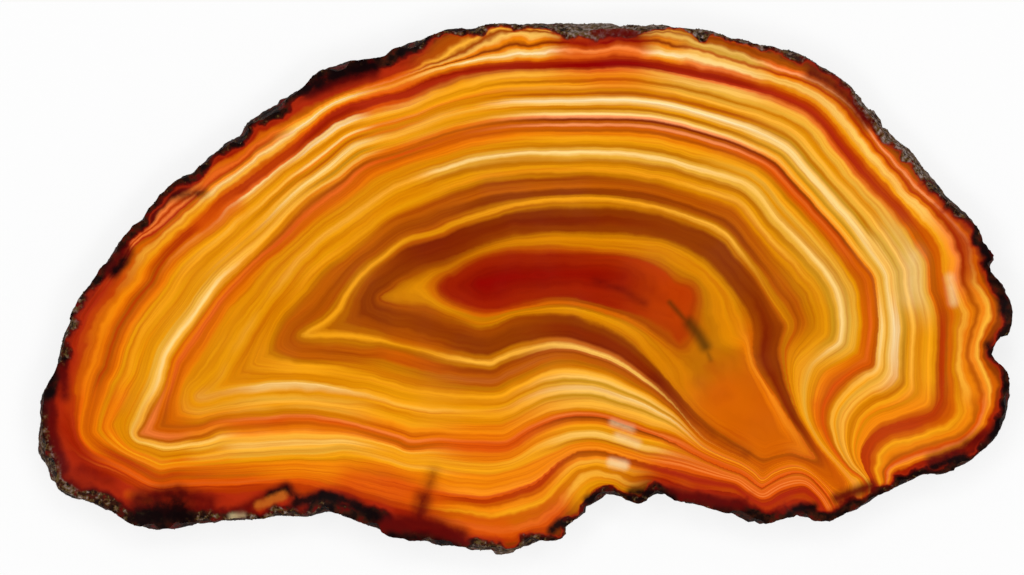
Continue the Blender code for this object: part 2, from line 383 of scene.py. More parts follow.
front_outline = fill_face(TOP, FACE_SPACING, FINE_SPACING)
back_outline = fill_face(BOTTOM, BACK_SPACING, BACK_SPACING / 2)
bmesh.ops.recalc_face_normals(stone, faces=stone.faces)
print("slice:", len(stone.faces), "triangles, open edges:", sum(edge.is_boundary for edge in stone.edges))

# %% Make the slice's mesh
slice_mesh = bpy.data.meshes.new("banded_slice")
stone.to_mesh(slice_mesh)
stone.free()
banded_slice = bpy.data.objects.new("banded_slice", slice_mesh)
bpy.context.scene.collection.objects.link(banded_slice)

places = np.empty(len(slice_mesh.vertices) * 3)
slice_mesh.vertices.foreach_get("co", places)
places = places.reshape(-1, 3)
on_front = places[:, 2] > TOP - TOUCH
on_back = places[:, 2] < BOTTOM + TOUCH
flat_mm = places[:, :2] / MM
print(on_front.sum(), "points on the polished face,", on_back.sum(), "on the back")

# %% [markdown]
# ## How deep each point lies in the growth
#
# Between two growth lines, the depth of a point is its share of the way from the outer line to the
# inner one, measured as the distance to each. So a point on line 3 has depth 3, and one half way to
# line 4 has 3.5. The rim is line 0, and the heart of the core is the last one.

# %% Depth in the growth
NO_WIDTH = 1e-9  # millimetres, so that nothing is divided by zero where two lines touch


def growth_depth(points, outline):
    """Depth of each point, given in millimetres, on the face with this outline."""
    loops = [outline] + smooth_lines
    level = np.zeros(len(points), int)
    for k, loop in enumerate(smooth_lines, start=1):
        level[inside_loop(points, loop)] = k
    lines = [even_steps(loop) for loop in loops]
    lines.append(even_steps(smooth_line(HEART_OF_CORE, closed=False), closed=False))
    depth = np.zeros(len(points))
    for k in range(len(loops)):
        here = level == k
        outer = distance_to(lines[k], points[here])
        inner = distance_to(lines[k + 1], points[here])
        depth[here] = k + outer / (outer + inner + NO_WIDTH)
    return depth


depth = np.zeros(len(places))
depth[on_front] = growth_depth(flat_mm[on_front], front_outline)
depth[on_back] = growth_depth(flat_mm[on_back], back_outline)
print("deepest point", round(depth.max(), 2))

# %% [markdown]
# ## Which band each point is in
#
# The bands aren't evenly spaced between the lines, and their widths change round the stone. So the
# stone is looked at along twelve straight lines that cross the bands, as a geologist logs a drill
# core. Each log says how far along, in millimetres, the middle of each of the 34 bands lies. A log
# that ends before the core says nothing about the last bands. Close to a log its own spacing
# counts, and between two logs they blend, so that every band stays one unbroken line. Four of the
# growth lines were drawn along the middle of a band, so there the depth is known exactly.

# %% Twelve logs across the bands
BANDS = 34
CORE_DEPTHS = {30: 6.3, 31: 6.75, 32: 7.15, 33: 8.0}  # for the bands that a log doesn't reach
DRAWN_BANDS = {6: 2.0, 16: 3.0, 21: 4.0, 27: 5.0}  # band: depth of the growth line along it
LOGS = {
    "crown": ((6, 30), (6, 1), [
        0.9, 1.9, 2.4, 3.1, 4.05, 5.05, 5.55, 5.9, 6.6, 7.3, 8.0, 8.8, 9.25, 9.85, 10.4, 11.0, 11.7,
        12.2, 12.75, 13.6, 14.5, 15.3, 16.3, 17.0, 18.1, 18.9, 19.7, 20.6, 21.5, 23.6, 24.8, 25.7,
        26.5, 28.9]),
    "right shoulder": ((41, 19), (15, 1), [
        1.6, 2.9, 3.4, 3.95, 4.9, 6.0, 6.7, 7.15, 8.0, 9.0, 9.6, 10.4, 11.1, 11.7, 12.4, 13.0, 13.55,
        14.1, 14.7, 15.6, 16.6, 17.4, 18.4, 19.4, 20.5, 21.3, 22.2, 23.1, 24.2, 26.4, 27.8, 29.7,
        31.0, 31.6]),
    "nose": ((54, -6), (18, -1.5), [
        1.3, 2.9, 3.8, 4.8, 5.9, 7.0, 7.7, 8.3, 9.4, 10.3, 11.2, 12.1, 12.8, 13.5, 14.0, 14.6, 15.25,
        15.9, 16.6, 17.5, 18.2, 19.0, 19.9, 20.9, 22.4, 23.5, 24.5, 25.5, 26.6, 29.2, 31.0, 34.0,
        35.8, 36.2]),
    "jaw": ((49, -20.5), (25, -10), [
        1.2, 3.9, 4.8, 5.7, 7.2, 9.3, 10.4, 11.0, 11.8, 12.5, 13.0, 13.9, 14.6, 15.1, 15.6, 16.2,
        16.85, 17.7, 18.5, 18.9, 19.3, 19.9, 20.3, 20.6, 20.8, 21.0, 21.15, 21.3, 21.7, 23.8, 24.6,
        26.0]),
    "canal": ((24, -25.6), (24, -15), [
        0.5, 1.4, 2.0, 2.3, 2.6, 2.9, 3.15, 3.4, 3.8, 4.0, 4.2, 4.4, 4.5, 4.65, 4.8, 4.95, 5.2, 5.5,
        5.7, 5.85, 6.0, 6.15, 6.3, 6.5, 6.6, 6.7, 6.8, 6.95, 7.5, 8.1, 8.6, 10.0]),
    "arch": ((8, -24.5), (8, 1.4), [
        0.4, 2.5, 3.4, 4.45, 5.0, 5.8, 6.1, 6.35, 6.7, 7.0, 7.35, 7.75, 8.15, 8.65, 9.0, 9.5, 10.1,
        10.5, 10.9, 11.7, 12.5, 13.1, 14.0, 14.8, 15.8, 16.4, 16.9, 17.5, 18.3, 20.1, 21.5, 22.2,
        22.8, 25.4]),
    "dip": ((-4, -30), (-4, 0), [
        0.6, 1.9, 2.7, 3.7, 4.9, 6.0, 6.55, 6.9, 7.5, 8.4, 9.2, 9.8, 10.2, 10.7, 11.15, 11.5, 12.3,
        12.9, 13.6, 14.3, 15.2, 16.2, 17.0, 17.9, 18.8, 19.6, 20.7, 21.7, 22.8, 25.1, 26.0, 26.9,
        27.8, 30.0]),
    "sole": ((-14, -28.5), (-14, -1), [
        0.8, 3.1, 3.9, 4.5, 5.0, 5.6, 6.2, 6.9, 7.8, 8.6, 9.2, 9.6, 9.9, 10.3, 10.6, 11.0, 11.55,
        12.2, 12.8, 14.0, 14.9, 15.7, 16.6, 17.6, 18.7, 19.8, 21.2, 22.2, 23.3, 25.8, 27.0]),
    "toe": ((-42, -27.2), (-13, -1), [
        1.0, 6.4, 7.4, 8.0, 8.6, 9.1, 9.7, 10.2, 10.9, 11.6, 12.1, 12.8, 13.7, 14.6, 15.4, 16.3, 17.9,
        19.2, 20.3, 21.5, 22.3, 23.9, 25.2, 26.6, 28.2, 29.2, 30.2, 32.0, 34.0, 36.8, 38.5]),
    "heel": ((-51, -2), (-8, 0.5), [
        2.2, 3.0, 3.5, 3.9, 5.5, 7.3, 8.2, 8.8, 9.8, 10.9, 12.0, 13.2, 13.9, 14.4, 15.0, 15.8, 16.8,
        17.9, 19.0, 20.3, 22.0, 23.5, 25.0, 26.3, 27.6, 29.3, 30.9, 32.1, 33.4, 35.8, 38.2, 41.0,
        42.6]),
    "back": ((-37.5, 13.2), (-10, 0), [
        1.2, 2.5, 3.5, 4.0, 4.7, 6.0, 6.9, 7.4, 8.3, 9.0, 9.6, 10.3, 10.9, 11.4, 11.9, 12.5, 13.3,
        14.2, 15.0, 15.8, 16.6, 17.6, 18.8, 19.9, 21.0, 21.9, 22.8, 23.7, 24.9, 27.0, 28.6]),
    "left shoulder": ((-18, 25.6), (-7, 1), [
        0.8, 3.3, 3.9, 4.1, 4.4, 5.0, 5.6, 6.3, 7.2, 7.8, 8.2, 8.6, 9.1, 9.6, 10.2, 10.7, 11.4, 12.0,
        12.6, 13.4, 14.2, 15.1, 16.0, 17.3, 18.2, 19.2, 20.1, 21.2, 22.3, 24.3, 25.2, 25.8, 26.7]),
}
print(len(LOGS), "logs with", sum(len(log[2]) for log in LOGS.values()), "band places")

# %% Band numbers from the logs
LOG_SOFTNESS = 0.8  # millimetres that keep a log from counting without limit on its own line
LOG_FALL = 4  # how steeply a log's say falls with distance
BAND_RISE = 1e-6  # keeps the depths of two bands apart


def depths_of_bands(start, end, places_along):
    """The growth depth of every band along one log."""
    start, end = np.array(start, float), np.array(end, float)
    way = (end - start) / np.linalg.norm(end - start)
    points = start + way * np.array(places_along)[:, None]
    found = np.full(BANDS, 0.0)
    found[:len(points)] = growth_depth(points, front_outline)
    for band, deep in CORE_DEPTHS.items():
        if band >= len(points):
            found[band] = deep
    for band, drawn in DRAWN_BANDS.items():
        found[band] = drawn
    found[0], found[-1] = 0.0, len(GROWTH_LINES) + 1
    return np.maximum.accumulate(found + np.arange(BANDS) * BAND_RISE)


def distance_to_log(points, start, end):
    start, way = np.array(start, float), np.array(end, float) - np.array(start, float)
    share = np.clip((points - start) @ way / (way @ way), 0, 1)
    return np.linalg.norm(points - start - share[:, None] * way, axis=1)


shares = {}
band_by_log = {}
for name, (start, end, places_along) in LOGS.items():
    band_by_log[name] = np.interp(depth, depths_of_bands(start, end, places_along), np.arange(BANDS))
    shares[name] = (distance_to_log(flat_mm, start, end) + LOG_SOFTNESS) ** -LOG_FALL
total = sum(shares.values())
shares = {name: share / total for name, share in shares.items()}
band = sum(shares[name] * band_by_log[name] for name in LOGS)
print("band numbers run from", round(band.min(), 2), "to", round(band.max(), 2))

# %% [markdown]
# ## Sides of the stone
#
# A band changes colour on its way round, because the iron wasn't spread evenly. So the stone has
# twelve sides, one for each log, and twelve smaller ones where it looks different from both of its
# neighbours. Each side has a few places that show it best, and a point belongs to a side by how
# near its places are. The shares travel to the material as vector attributes of three sides each,
# beside the band number and the distance to the rim.

# %% Sides and the places that show them best
SIDE_PLACES = {
    "crown": [(0, 28), (1, 25), (6, 20), (6, 14), (6, 9), (-6, 24.5), (16, 25.5), (15, 15), (-4, 13)],
    "right shoulder": [(29, 23), (38, 16), (43, 9), (33, 14), (27, 9), (21, 5), (37, 7)],
    "nose": [(50, -3), (45, -6), (40, -5), (35, -4), (30, -2), (51, -10), (46, -9)],
    "jaw": [(47, -17), (43, -15), (38, -13), (34, -12), (37, -17), (50, -14.5), (40, -19)],
    "canal": [(24, -25), (20, -22.5), (28, -23), (33, -22), (24, -16), (22.5, -12), (28, -18), (16, -21)],
    "arch": [(7, -22), (8, -18), (8, -13), (8, -8), (8, -4), (14, -16), (13, -10)],
    "dip": [(-3, -28), (-4, -22), (-4, -16), (-4, -10), (-3, -5), (3, -25), (2, -21)],
    "sole": [(-14, -26), (-14, -20), (-14, -14), (-14, -9), (-13, -4), (-19, -22.5)],
    "toe": [(-43, -22), (-37, -22), (-35, -17), (-27, -12.5), (-24, -9), (-31, -22)],
    "heel": [(-50, -12), (-46, -10), (-42, -9), (-38, -7.5), (-33, -5), (-28, -2.5), (-45, -3),
             (-40, 0), (-35, -1), (-32, -8), (-34.5, -10)],
    "back": [(-39, 9), (-36, 8), (-31, 6), (-27, 5), (-22, 3), (-42, 5)],
    "left shoulder": [(-15, 24), (-16, 19), (-14, 15), (-12, 10), (-10, 6)],
    "high left": [(-33, 11), (-30, 13), (-28, 12), (-27, 15), (-31, 10), (-32, 15)],
    "upper left": [(-23, 18), (-21, 17), (-20, 20), (-22, 14), (-19, 16), (-24, 19)],
    "right end": [(43, 3), (41, 1), (44, 0), (42, 5), (40, 3.5), (45, 2)],
    "corner": [(-42, -18), (-40, -17), (-38, -19), (-44, -17), (-41, -15)],
    "low left": [(-30, -17.5), (-25, -17), (-21, -17), (-27, -15), (-22, -19.5), (-25, -20)],
    "red stain": [(6, 26), (9, 26.5), (12, 26), (9, 24.5)],
    "gold": [(20, -3), (22, -6), (19, 0), (22, -1), (20, -8)],
    "left lens": [(-20, -3), (-17, -1), (-16, -4.5), (-21, -5), (-13, -4)],
    "wedge": [(26, -6), (28, -10), (30, -14), (27, -13), (31, -12)],
    "left edge": [(-48, -13), (-46.5, -15), (-46, -12), (-44, -14), (-48, -16.5)],
    "crown left": [(-7, 23), (-6, 20), (-7, 17), (-5, 15), (-8, 14.5)],
    "crown right": [(20, 26), (20, 23.5), (22, 21.5), (18, 21.5), (23, 25)],
}
SIDE_SOFTNESS = 1.5  # millimetres
SIDE_FALL = 4

pull = {}
for side, side_places in SIDE_PLACES.items():
    away = np.linalg.norm(flat_mm[:, None, :] - np.array(side_places, float), axis=2)
    pull[side] = ((away + SIDE_SOFTNESS) ** -SIDE_FALL).sum(axis=1)
whole_pull = sum(pull.values())
side_shares = [share / whole_pull for share in pull.values()]
print(len(side_shares), "sides")

# %% [markdown]
# ## How thick the rind looks
#
# The saw cut the rind at all angles, so its dark edge is thin in one place and thick in the next,
# and the red stain that it leaves in the stone reaches further in some places than in others. Both
# widths are noted at places round the rim, and every point takes the values of the places near it.

# %% Rind widths round the rim
RIND_FALL = 4
RIND_WIDTHS = [  # x, y, width of the dark edge and of the stain in millimetres, share of weathered crust
    (-8, 28.5, 0.3, 0.3, 0.6), (0, 29, 0.25, 0.3, 0.7), (9, 29.3, 0.8, 0.6, 1.0), (16, 28.8, 0.3, 0.2, 0.9),
    (25, 27, 0.2, 0.3, 0.8), (32, 24.7, 0.15, 0.5, 0.7), (38, 20, 0.3, 0.6, 0.9), (43, 14.5, 0.3, 0.3, 1.0),
    (48, 9, 0.5, 0.8, 0.6), (51, 4, 0.8, 0.7, 0.1), (52, -1, 0.85, 0.5, 0.1), (51.5, -7, 0.4, 0.4, 0.2),
    (53.4, -11, 0.4, 0.4, 0.3), (52, -16, 0.6, 0.4, 0.2), (46, -20.5, 0.6, 0.4, 0.3),
    (39, -22.8, 0.7, 0.5, 0.2), (34, -25.5, 0.9, 0.8, 0.1), (28, -25.8, 0.9, 1.3, 0.1),
    (23, -24.8, 0.7, 1.3, 0.2), (18, -23.9, 0.8, 1.2, 0.3), (13, -23.8, 0.5, 0.3, 0.4),
    (8, -23.9, 0.3, 0.2, 0.4), (5, -26, 0.45, 0.2, 0.4), (2, -28, 0.3, 0.4, 0.7),
    (-3, -29.3, 0.3, 0.5, 0.8), (-9, -28.5, 0.8, 0.7, 0.3), (-15, -27.3, 1.5, 1.0, 0.1),
    (-20, -25.2, 1.4, 0.9, 0.15),
    (-26, -25.4, 0.5, 1.1, 0.7), (-33, -26, 0.7, 1.6, 0.6), (-39, -26.7, 1.6, 1.7, 0.3),
    (-45, -24.7, 1.3, 1.6, 0.5), (-50, -23, 0.85, 1.9, 0.8), (-53.3, -17, 0.8, 2.0, 0.7),
    (-52.5, -11.5, 1.1, 1.3, 0.2), (-50, -4, 0.4, 0.7, 0.7), (-45, 4, 0.8, 0.6, 0.1),
    (-40, 9.6, 0.4, 0.5, 0.2), (-36, 13, 0.5, 0.5, 0.2), (-31, 16.8, 0.3, 0.5, 0.4),
    (-26, 21, 0.55, 0.5, 0.2), (-20, 24.4, 1.0, 0.8, 0.2), (-15, 25.6, 1.1, 0.7, 0.1),
    (-12, 27, 0.5, 0.6, 0.4),
]

near_rim = np.array([row[:2] for row in RIND_WIDTHS])
away = np.linalg.norm(flat_mm[:, None, :] - near_rim, axis=2) + LOG_SOFTNESS
say = away ** -RIND_FALL
rind_values = (say @ np.array([row[2:] for row in RIND_WIDTHS])) / say.sum(axis=1, keepdims=True)
print("dark edge from", rind_values[:, 0].min().round(2), "to", rind_values[:, 0].max().round(2), "mm")

# %% [markdown]
# ## Stains, lumps and pale patches
#
# Some things don't follow the bands: lumps of rind that reach inwards, red stains, bleached patches
# and a dark slit beside the core. Each is a short path with a width, like a stroke of a brush. A
# point takes the value 1 on the path and 0 at its edge, and the material makes that edge ragged.

# %% Marks that cross the bands
MARK_KINDS = ["soot", "maroon", "scarlet", "olive brown", "pale", "tan"]
MARKS = [  # kind, half the width in millimetres, strength, path
    ("soot", 2.9, 1.0, [(-41.8, -25.4), (-38, -24.4)]),
    ("soot", 1.3, 1.0, [(-52.1, -9.3), (-52, -11.6)]),
    ("soot", 1.3, 1.0, [(-23.8, 21.8), (-20.5, 23.4), (-16.4, 24.4)]),
    ("soot", 0.9, 1.0, [(-13.4, 25.9), (-11.6, 26.8)]),
    ("soot", 1.1, 1.0, [(-25, -23.8), (-22, -22.8), (-19, -23.6), (-16, -25.3)]),
    ("soot", 1.0, 0.9, [(-27.8, -22.9), (-25.8, -22.2), (-24.8, -23.2)]),
    ("soot", 1.0, 1.0, [(7.3, -23.4), (9, -22.9)]),
    ("soot", 1.0, 1.0, [(12, -22.6), (14, -22.6), (16.5, -23.3)]),
    ("soot", 0.9, 1.0, [(3.2, -26.8), (4.2, -25.9)]),
    ("soot", 0.9, 0.9, [(30, -24.4), (32, -24.2)]),
    ("soot", 1.0, 0.9, [(45, -19.9), (48.5, -18.6)]),
    ("soot", 1.1, 1.0, [(51.8, -16.6), (52.4, -15)]),
    ("soot", 1.1, 1.0, [(52.9, -2.6), (52.8, -1.2)]),
    ("soot", 1.2, 1.0, [(51.4, 2.8), (50.8, 4.4)]),
    ("soot", 0.8, 0.9, [(51.6, -7.4), (51.2, -6.4)]),
    ("soot", 1.1, 0.6, [(-38.3, 9.9), (-36.6, 10.2), (-35.2, 10.4)]),
    ("soot", 1.0, 0.9, [(-44.9, 1.6), (-43.8, 2.9)]),
    ("soot", 0.9, 0.8, [(-14.6, -27.3), (-10.5, -27.9), (-7, -28.7)]),
    ("maroon", 1.4, 0.9, [(-23.2, 21.4), (-20, 22.7), (-16.4, 23.6)]),
    ("maroon", 1.6, 0.75, [(31.8, 23.5), (34.2, 22.2), (36.5, 20), (37.9, 18)]),
    ("maroon", 1.2, 0.9, [(34.6, -23.2), (36.6, -22.5), (38.4, -21.9)]),
    ("maroon", 1.2, 0.8, [(-51.9, -13), (-51.6, -16.5), (-50.6, -20)]),
    ("maroon", 1.3, 0.9, [(-45.2, 1.6), (-43.4, 3.8)]),
    ("maroon", 1.2, 0.9, [(8, 28.1), (12.4, 27.9)]),
    ("maroon", 1.9, 1.0, [(-15, -26.2), (-11, -26), (-7, -27.4)]),
    ("maroon", 1.8, 0.8, [(-11.4, -25.8), (-10.9, -23.2)]),
    ("maroon", 1.5, 0.5, [(-10.9, -23.8), (-9.8, -20.4)]),
    ("maroon", 1.2, 0.8, [(16.5, -22.6), (20, -23.4), (24, -24)]),
    ("maroon", 1.3, 0.8, [(45, -19), (47.6, -18.1), (50.8, -16.2)]),
    ("maroon", 1.6, 0.8, [(-42.5, -23.2), (-38, -22.5), (-34.4, -23.6)]),
    ("maroon", 1.2, 0.8, [(-50.6, -9), (-50.3, -12)]),
    ("maroon", 1.2, 0.8, [(-31, -24.6), (-28.5, -23.2), (-26, -22)]),
    ("maroon", 1.0, 0.45, [(8, 0.7), (11, -0.3), (13.4, -1.8)]),
    ("maroon", 1.4, 0.42, [(14.5, -10), (17.9, -14), (21, -16.4), (24.6, -18.4)]),
    ("scarlet", 2.0, 0.9, [(-35, 7), (-31.6, 9)]),
    ("scarlet", 0.9, 0.9, [(-43.3, -22.8), (-41.2, -23.2)]),
    ("scarlet", 1.2, 0.6, [(32.2, -12.8), (32.6, -15.2)]),
    ("scarlet", 1.4, 0.7, [(-6, -25.6), (-2, -26)]),
    ("olive brown", 0.6, 0.7, [(16.2, -1.7), (17.6, -3.3), (18.8, -4.5)]),
    ("olive brown", 1.2, 0.9, [(18.3, -3.9), (19.4, -5.3), (20.1, -6.5)]),
    ("olive brown", 0.6, 0.5, [(19.9, -6.1), (20.7, -8)]),
    ("pale", 0.8, 0.55, [(9.9, -14.9), (12, -15.6)]),
    ("pale", 0.9, 0.55, [(10.5, -16.4), (12.6, -17.2)]),
    ("pale", 0.9, 0.9, [(9.8, -19.3), (11.2, -19.6)]),
    ("pale", 1.0, 0.6, [(47, 1), (47.4, -1.6)]),
    ("pale", 2.4, 0.4, [(42.8, 3.2), (42.8, -0.9)]),
    ("pale", 0.7, 0.7, [(-32, -25.3), (-30.8, -25)]),
    ("tan", 0.8, 1.0, [(-29, -24), (-26.3, -22.9)]),
]


def distance_to_path(points, path):
    """Each point's distance to a path of straight pieces."""
    nearest = np.full(len(points), np.inf)
    for start, end in zip(path, path[1:]):
        nearest = np.minimum(nearest, distance_to_log(points, start, end))
    return nearest


marks = {kind: np.zeros(len(places)) for kind in MARK_KINDS}
for kind, half_width, strength, path in MARKS:
    value = strength * (1 - distance_to_path(flat_mm, path) / half_width)
    marks[kind] = np.maximum(marks[kind], value)
print(len(MARKS), "marks of", len(MARK_KINDS), "kinds")

# %% Attributes for the materials
def in_threes(values):
    """The values in groups of three, as many as a vector attribute holds."""
    values = list(values)
    return [values[k:k + 3] for k in range(0, len(values), 3)]


def store(mesh, name, kind, field, values):
    attribute = mesh.attributes.new(name, kind, "POINT")
    attribute.data.foreach_set(field, np.asarray(values, np.float32).ravel())


rim_distance = np.zeros(len(places))
for chosen, outline in ((on_front, front_outline), (on_back, back_outline)):
    rim_distance[chosen] = distance_to(even_steps(outline), flat_mm[chosen])
store(slice_mesh, "band", "FLOAT", "value", band)
for k, three in enumerate(in_threes(side_shares)):
    store(slice_mesh, f"sides_{k}", "FLOAT_VECTOR", "vector", np.column_stack(three))
for k, three in enumerate(in_threes(marks[kind] for kind in MARK_KINDS)):
    store(slice_mesh, f"marks_{k}", "FLOAT_VECTOR", "vector", np.column_stack(three))
store(slice_mesh, "rim_distance", "FLOAT", "value", rim_distance)
store(slice_mesh, "rind", "FLOAT_VECTOR", "vector", rind_values)
print("attributes:", [attribute.name for attribute in slice_mesh.attributes])

# %% [markdown]
# ## A flat map of the stone
#
# The map lays the pattern out on one square picture. The polished face gets most of that
# square, the back a smaller copy above it, and the rim is unrolled in five strips.

# %% Unwrap the slice
UV_NAME = "OFBake"
FRONT_SCALE = 0.0088  # of the square for each millimetre
BACK_SCALE = 0.0066
RIM_SCALE = 0.0062
FRONT_CORNER = (0.012, 0.012)
BACK_CORNER = (0.012, 0.56)
RIM_CORNER = (0.745, 0.56)
RIM_STRIPS = 5
STRIP_PITCH = 0.05

corner_of = np.empty(len(slice_mesh.loops), int)
slice_mesh.loops.foreach_get("vertex_index", corner_of)
triangles = corner_of.reshape(-1, 3)
flat_up = on_front[triangles].all(axis=1)
flat_down = on_back[triangles].all(axis=1)
low_corner = flat_mm.min(axis=0)
uv = np.zeros((len(triangles), 3, 2))
uv[flat_up] = FRONT_CORNER + (flat_mm[triangles[flat_up]] - low_corner) * FRONT_SCALE
uv[flat_down] = BACK_CORNER + (flat_mm[triangles[flat_down]] - low_corner) * BACK_SCALE

round_rim = np.linalg.norm(np.diff(front_outline, axis=0, append=front_outline[:1]), axis=1)
travelled = np.concatenate([[0], np.cumsum(round_rim)])
rim_tree = kdtree.KDTree(len(front_outline))
for i, (x, y) in enumerate(front_outline):
    rim_tree.insert((x, y, 0.0), i)
rim_tree.balance()
on_rim = ~(flat_up | flat_down)
nearest = {v: rim_tree.find((*flat_mm[v], 0.0))[1] for v in np.unique(triangles[on_rim])}
along = np.array([travelled[nearest[v]] for v in triangles[on_rim].ravel()]).reshape(-1, 3)
whole = travelled[-1]
along = np.where(along - along.min(axis=1, keepdims=True) > whole / 2, along - whole, along)
strip = np.clip((along.mean(axis=1) % whole) // (whole / RIM_STRIPS), 0, RIM_STRIPS - 1)
start_of_strip = (strip * whole / RIM_STRIPS)[:, None]
start_of_strip = np.where(along.mean(axis=1)[:, None] < 0, start_of_strip - whole, start_of_strip)
height_mm = places[triangles[on_rim], 2] / MM
uv[on_rim, :, 0] = RIM_CORNER[0] + strip[:, None] * STRIP_PITCH + height_mm * RIM_SCALE
uv[on_rim, :, 1] = RIM_CORNER[1] + (along - start_of_strip) * RIM_SCALE
uv_map = slice_mesh.uv_layers.new(name=UV_NAME)
uv_map.data.foreach_set("uv", uv.ravel().astype(np.float32))
print("flat map spans", uv.min(axis=(0, 1)).round(3), "to", uv.max(axis=(0, 1)).round(3))

# %% [markdown]
# ## Helpers for materials
#
# Colours are given as sRGB hex values, as a screen shows them, but the renderer counts light, so each hex is
# turned to linear values once. The second helper adds a node, sets what is given and links sockets.
# The others are its most common uses: to reckon with numbers, to stretch one range of numbers to
# another, to draw a cloudy noise and to lay one colour over another.

# %% Helpers
def linear(hex_colour):
    """An sRGB hex colour as linear red, green, blue and a full alpha."""
    parts = [int(hex_colour[i:i + 2], 16) / 255 for i in (0, 2, 4)]
    light = [part / 12.92 if part <= 0.04045 else ((part + 0.055) / 1.055) ** 2.4 for part in parts]
    return (*light, 1.0)


def add(tree, kind, inputs=None, **settings):
    """A new node with these settings. A socket given as an input is linked, and a value is set."""
    node = tree.nodes.new(kind)
    for name, value in settings.items():
        setattr(node, name, value)
    for key, value in (inputs or {}).items():
        if isinstance(value, bpy.types.NodeSocket):
            tree.links.new(value, node.inputs[key])
        else:
            node.inputs[key].default_value = value
    return node


def reckon(tree, operation, *numbers):
    """What this sum makes of one to three numbers."""
    return add(tree, "ShaderNodeMath", dict(enumerate(numbers)), operation=operation).outputs[0]


def ranged(tree, value, low, high, at_low, at_high, kind="LINEAR"):
    """The value with the range from low to high stretched from at_low to at_high."""
    inputs = {0: value, 1: low, 2: high, 3: at_low, 4: at_high}
    return add(tree, "ShaderNodeMapRange", inputs, interpolation_type=kind).outputs[0]


def clouds(tree, place, waves, detail):
    """A cloudy noise with this many waves to a unit of place, mostly between 0.3 and 0.7."""
    return add(tree, "ShaderNodeTexNoise", {"Vector": place, "Scale": waves, "Detail": detail}).outputs[0]


def mixed(tree, below, above, factor, blend="MIX"):
    """One colour over another."""
    inputs = {0: factor, 6: below, 7: above}
    return add(tree, "ShaderNodeMix", inputs, data_type="RGBA", blend_type=blend).outputs[2]


def empty_material(name):
    made = bpy.data.materials.new(name)
    made.use_nodes = True
    made.node_tree.nodes.clear()
    return made, made.node_tree


print("middle grey in linear light:", [round(value, 3) for value in linear("808080")])

# %% [markdown]
# ## The stone's colours
#
# Every colour in the stone comes from iron: a little of it gives cream and amber, more gives
# orange, and red bands hold the most. Fewer than forty colours, named as a lapidary might call
# them, are enough. Each side then lists what its bands look like from the rim inwards, as a band
# number and a colour. A fine line between two bands has a number between theirs.

# %% Palette
PALETTE = {
    "night": "0e0506", "soot": "1c0c08", "bark": "3a180c", "moss": "5c4a22", "skin": "6c5240",
    "ash": "988880", "olive brown": "4a2c04", "maroon": "5e0806", "deep red": "900000",
    "blood": "9c1c02", "garnet": "b02a0c", "brick": "ba3a02", "red orange": "de5606",
    "vermilion": "e8661a", "salmon": "f27c34", "pale salmon": "ff9a5e",
    "burnt": "d26002", "rust": "bc5a04", "tangerine": "e87404", "sienna": "c2621c",
    "brown": "a84c02", "dark brown": "903a02", "umber": "842602", "orange": "f28608",
    "bright orange": "fa8e18", "amber": "f6a012", "light amber": "fcb236", "gold": "e69406",
    "honey": "dc8402", "ochre": "c47402", "olive": "c68c18", "sand": "eaaa34", "straw": "d8a43c",
    "haze": "e8b454", "cream amber": "fcc25a", "cream": "ffd686", "pale cream": "ffe4ac",
}
print(len(PALETTE), "colours")

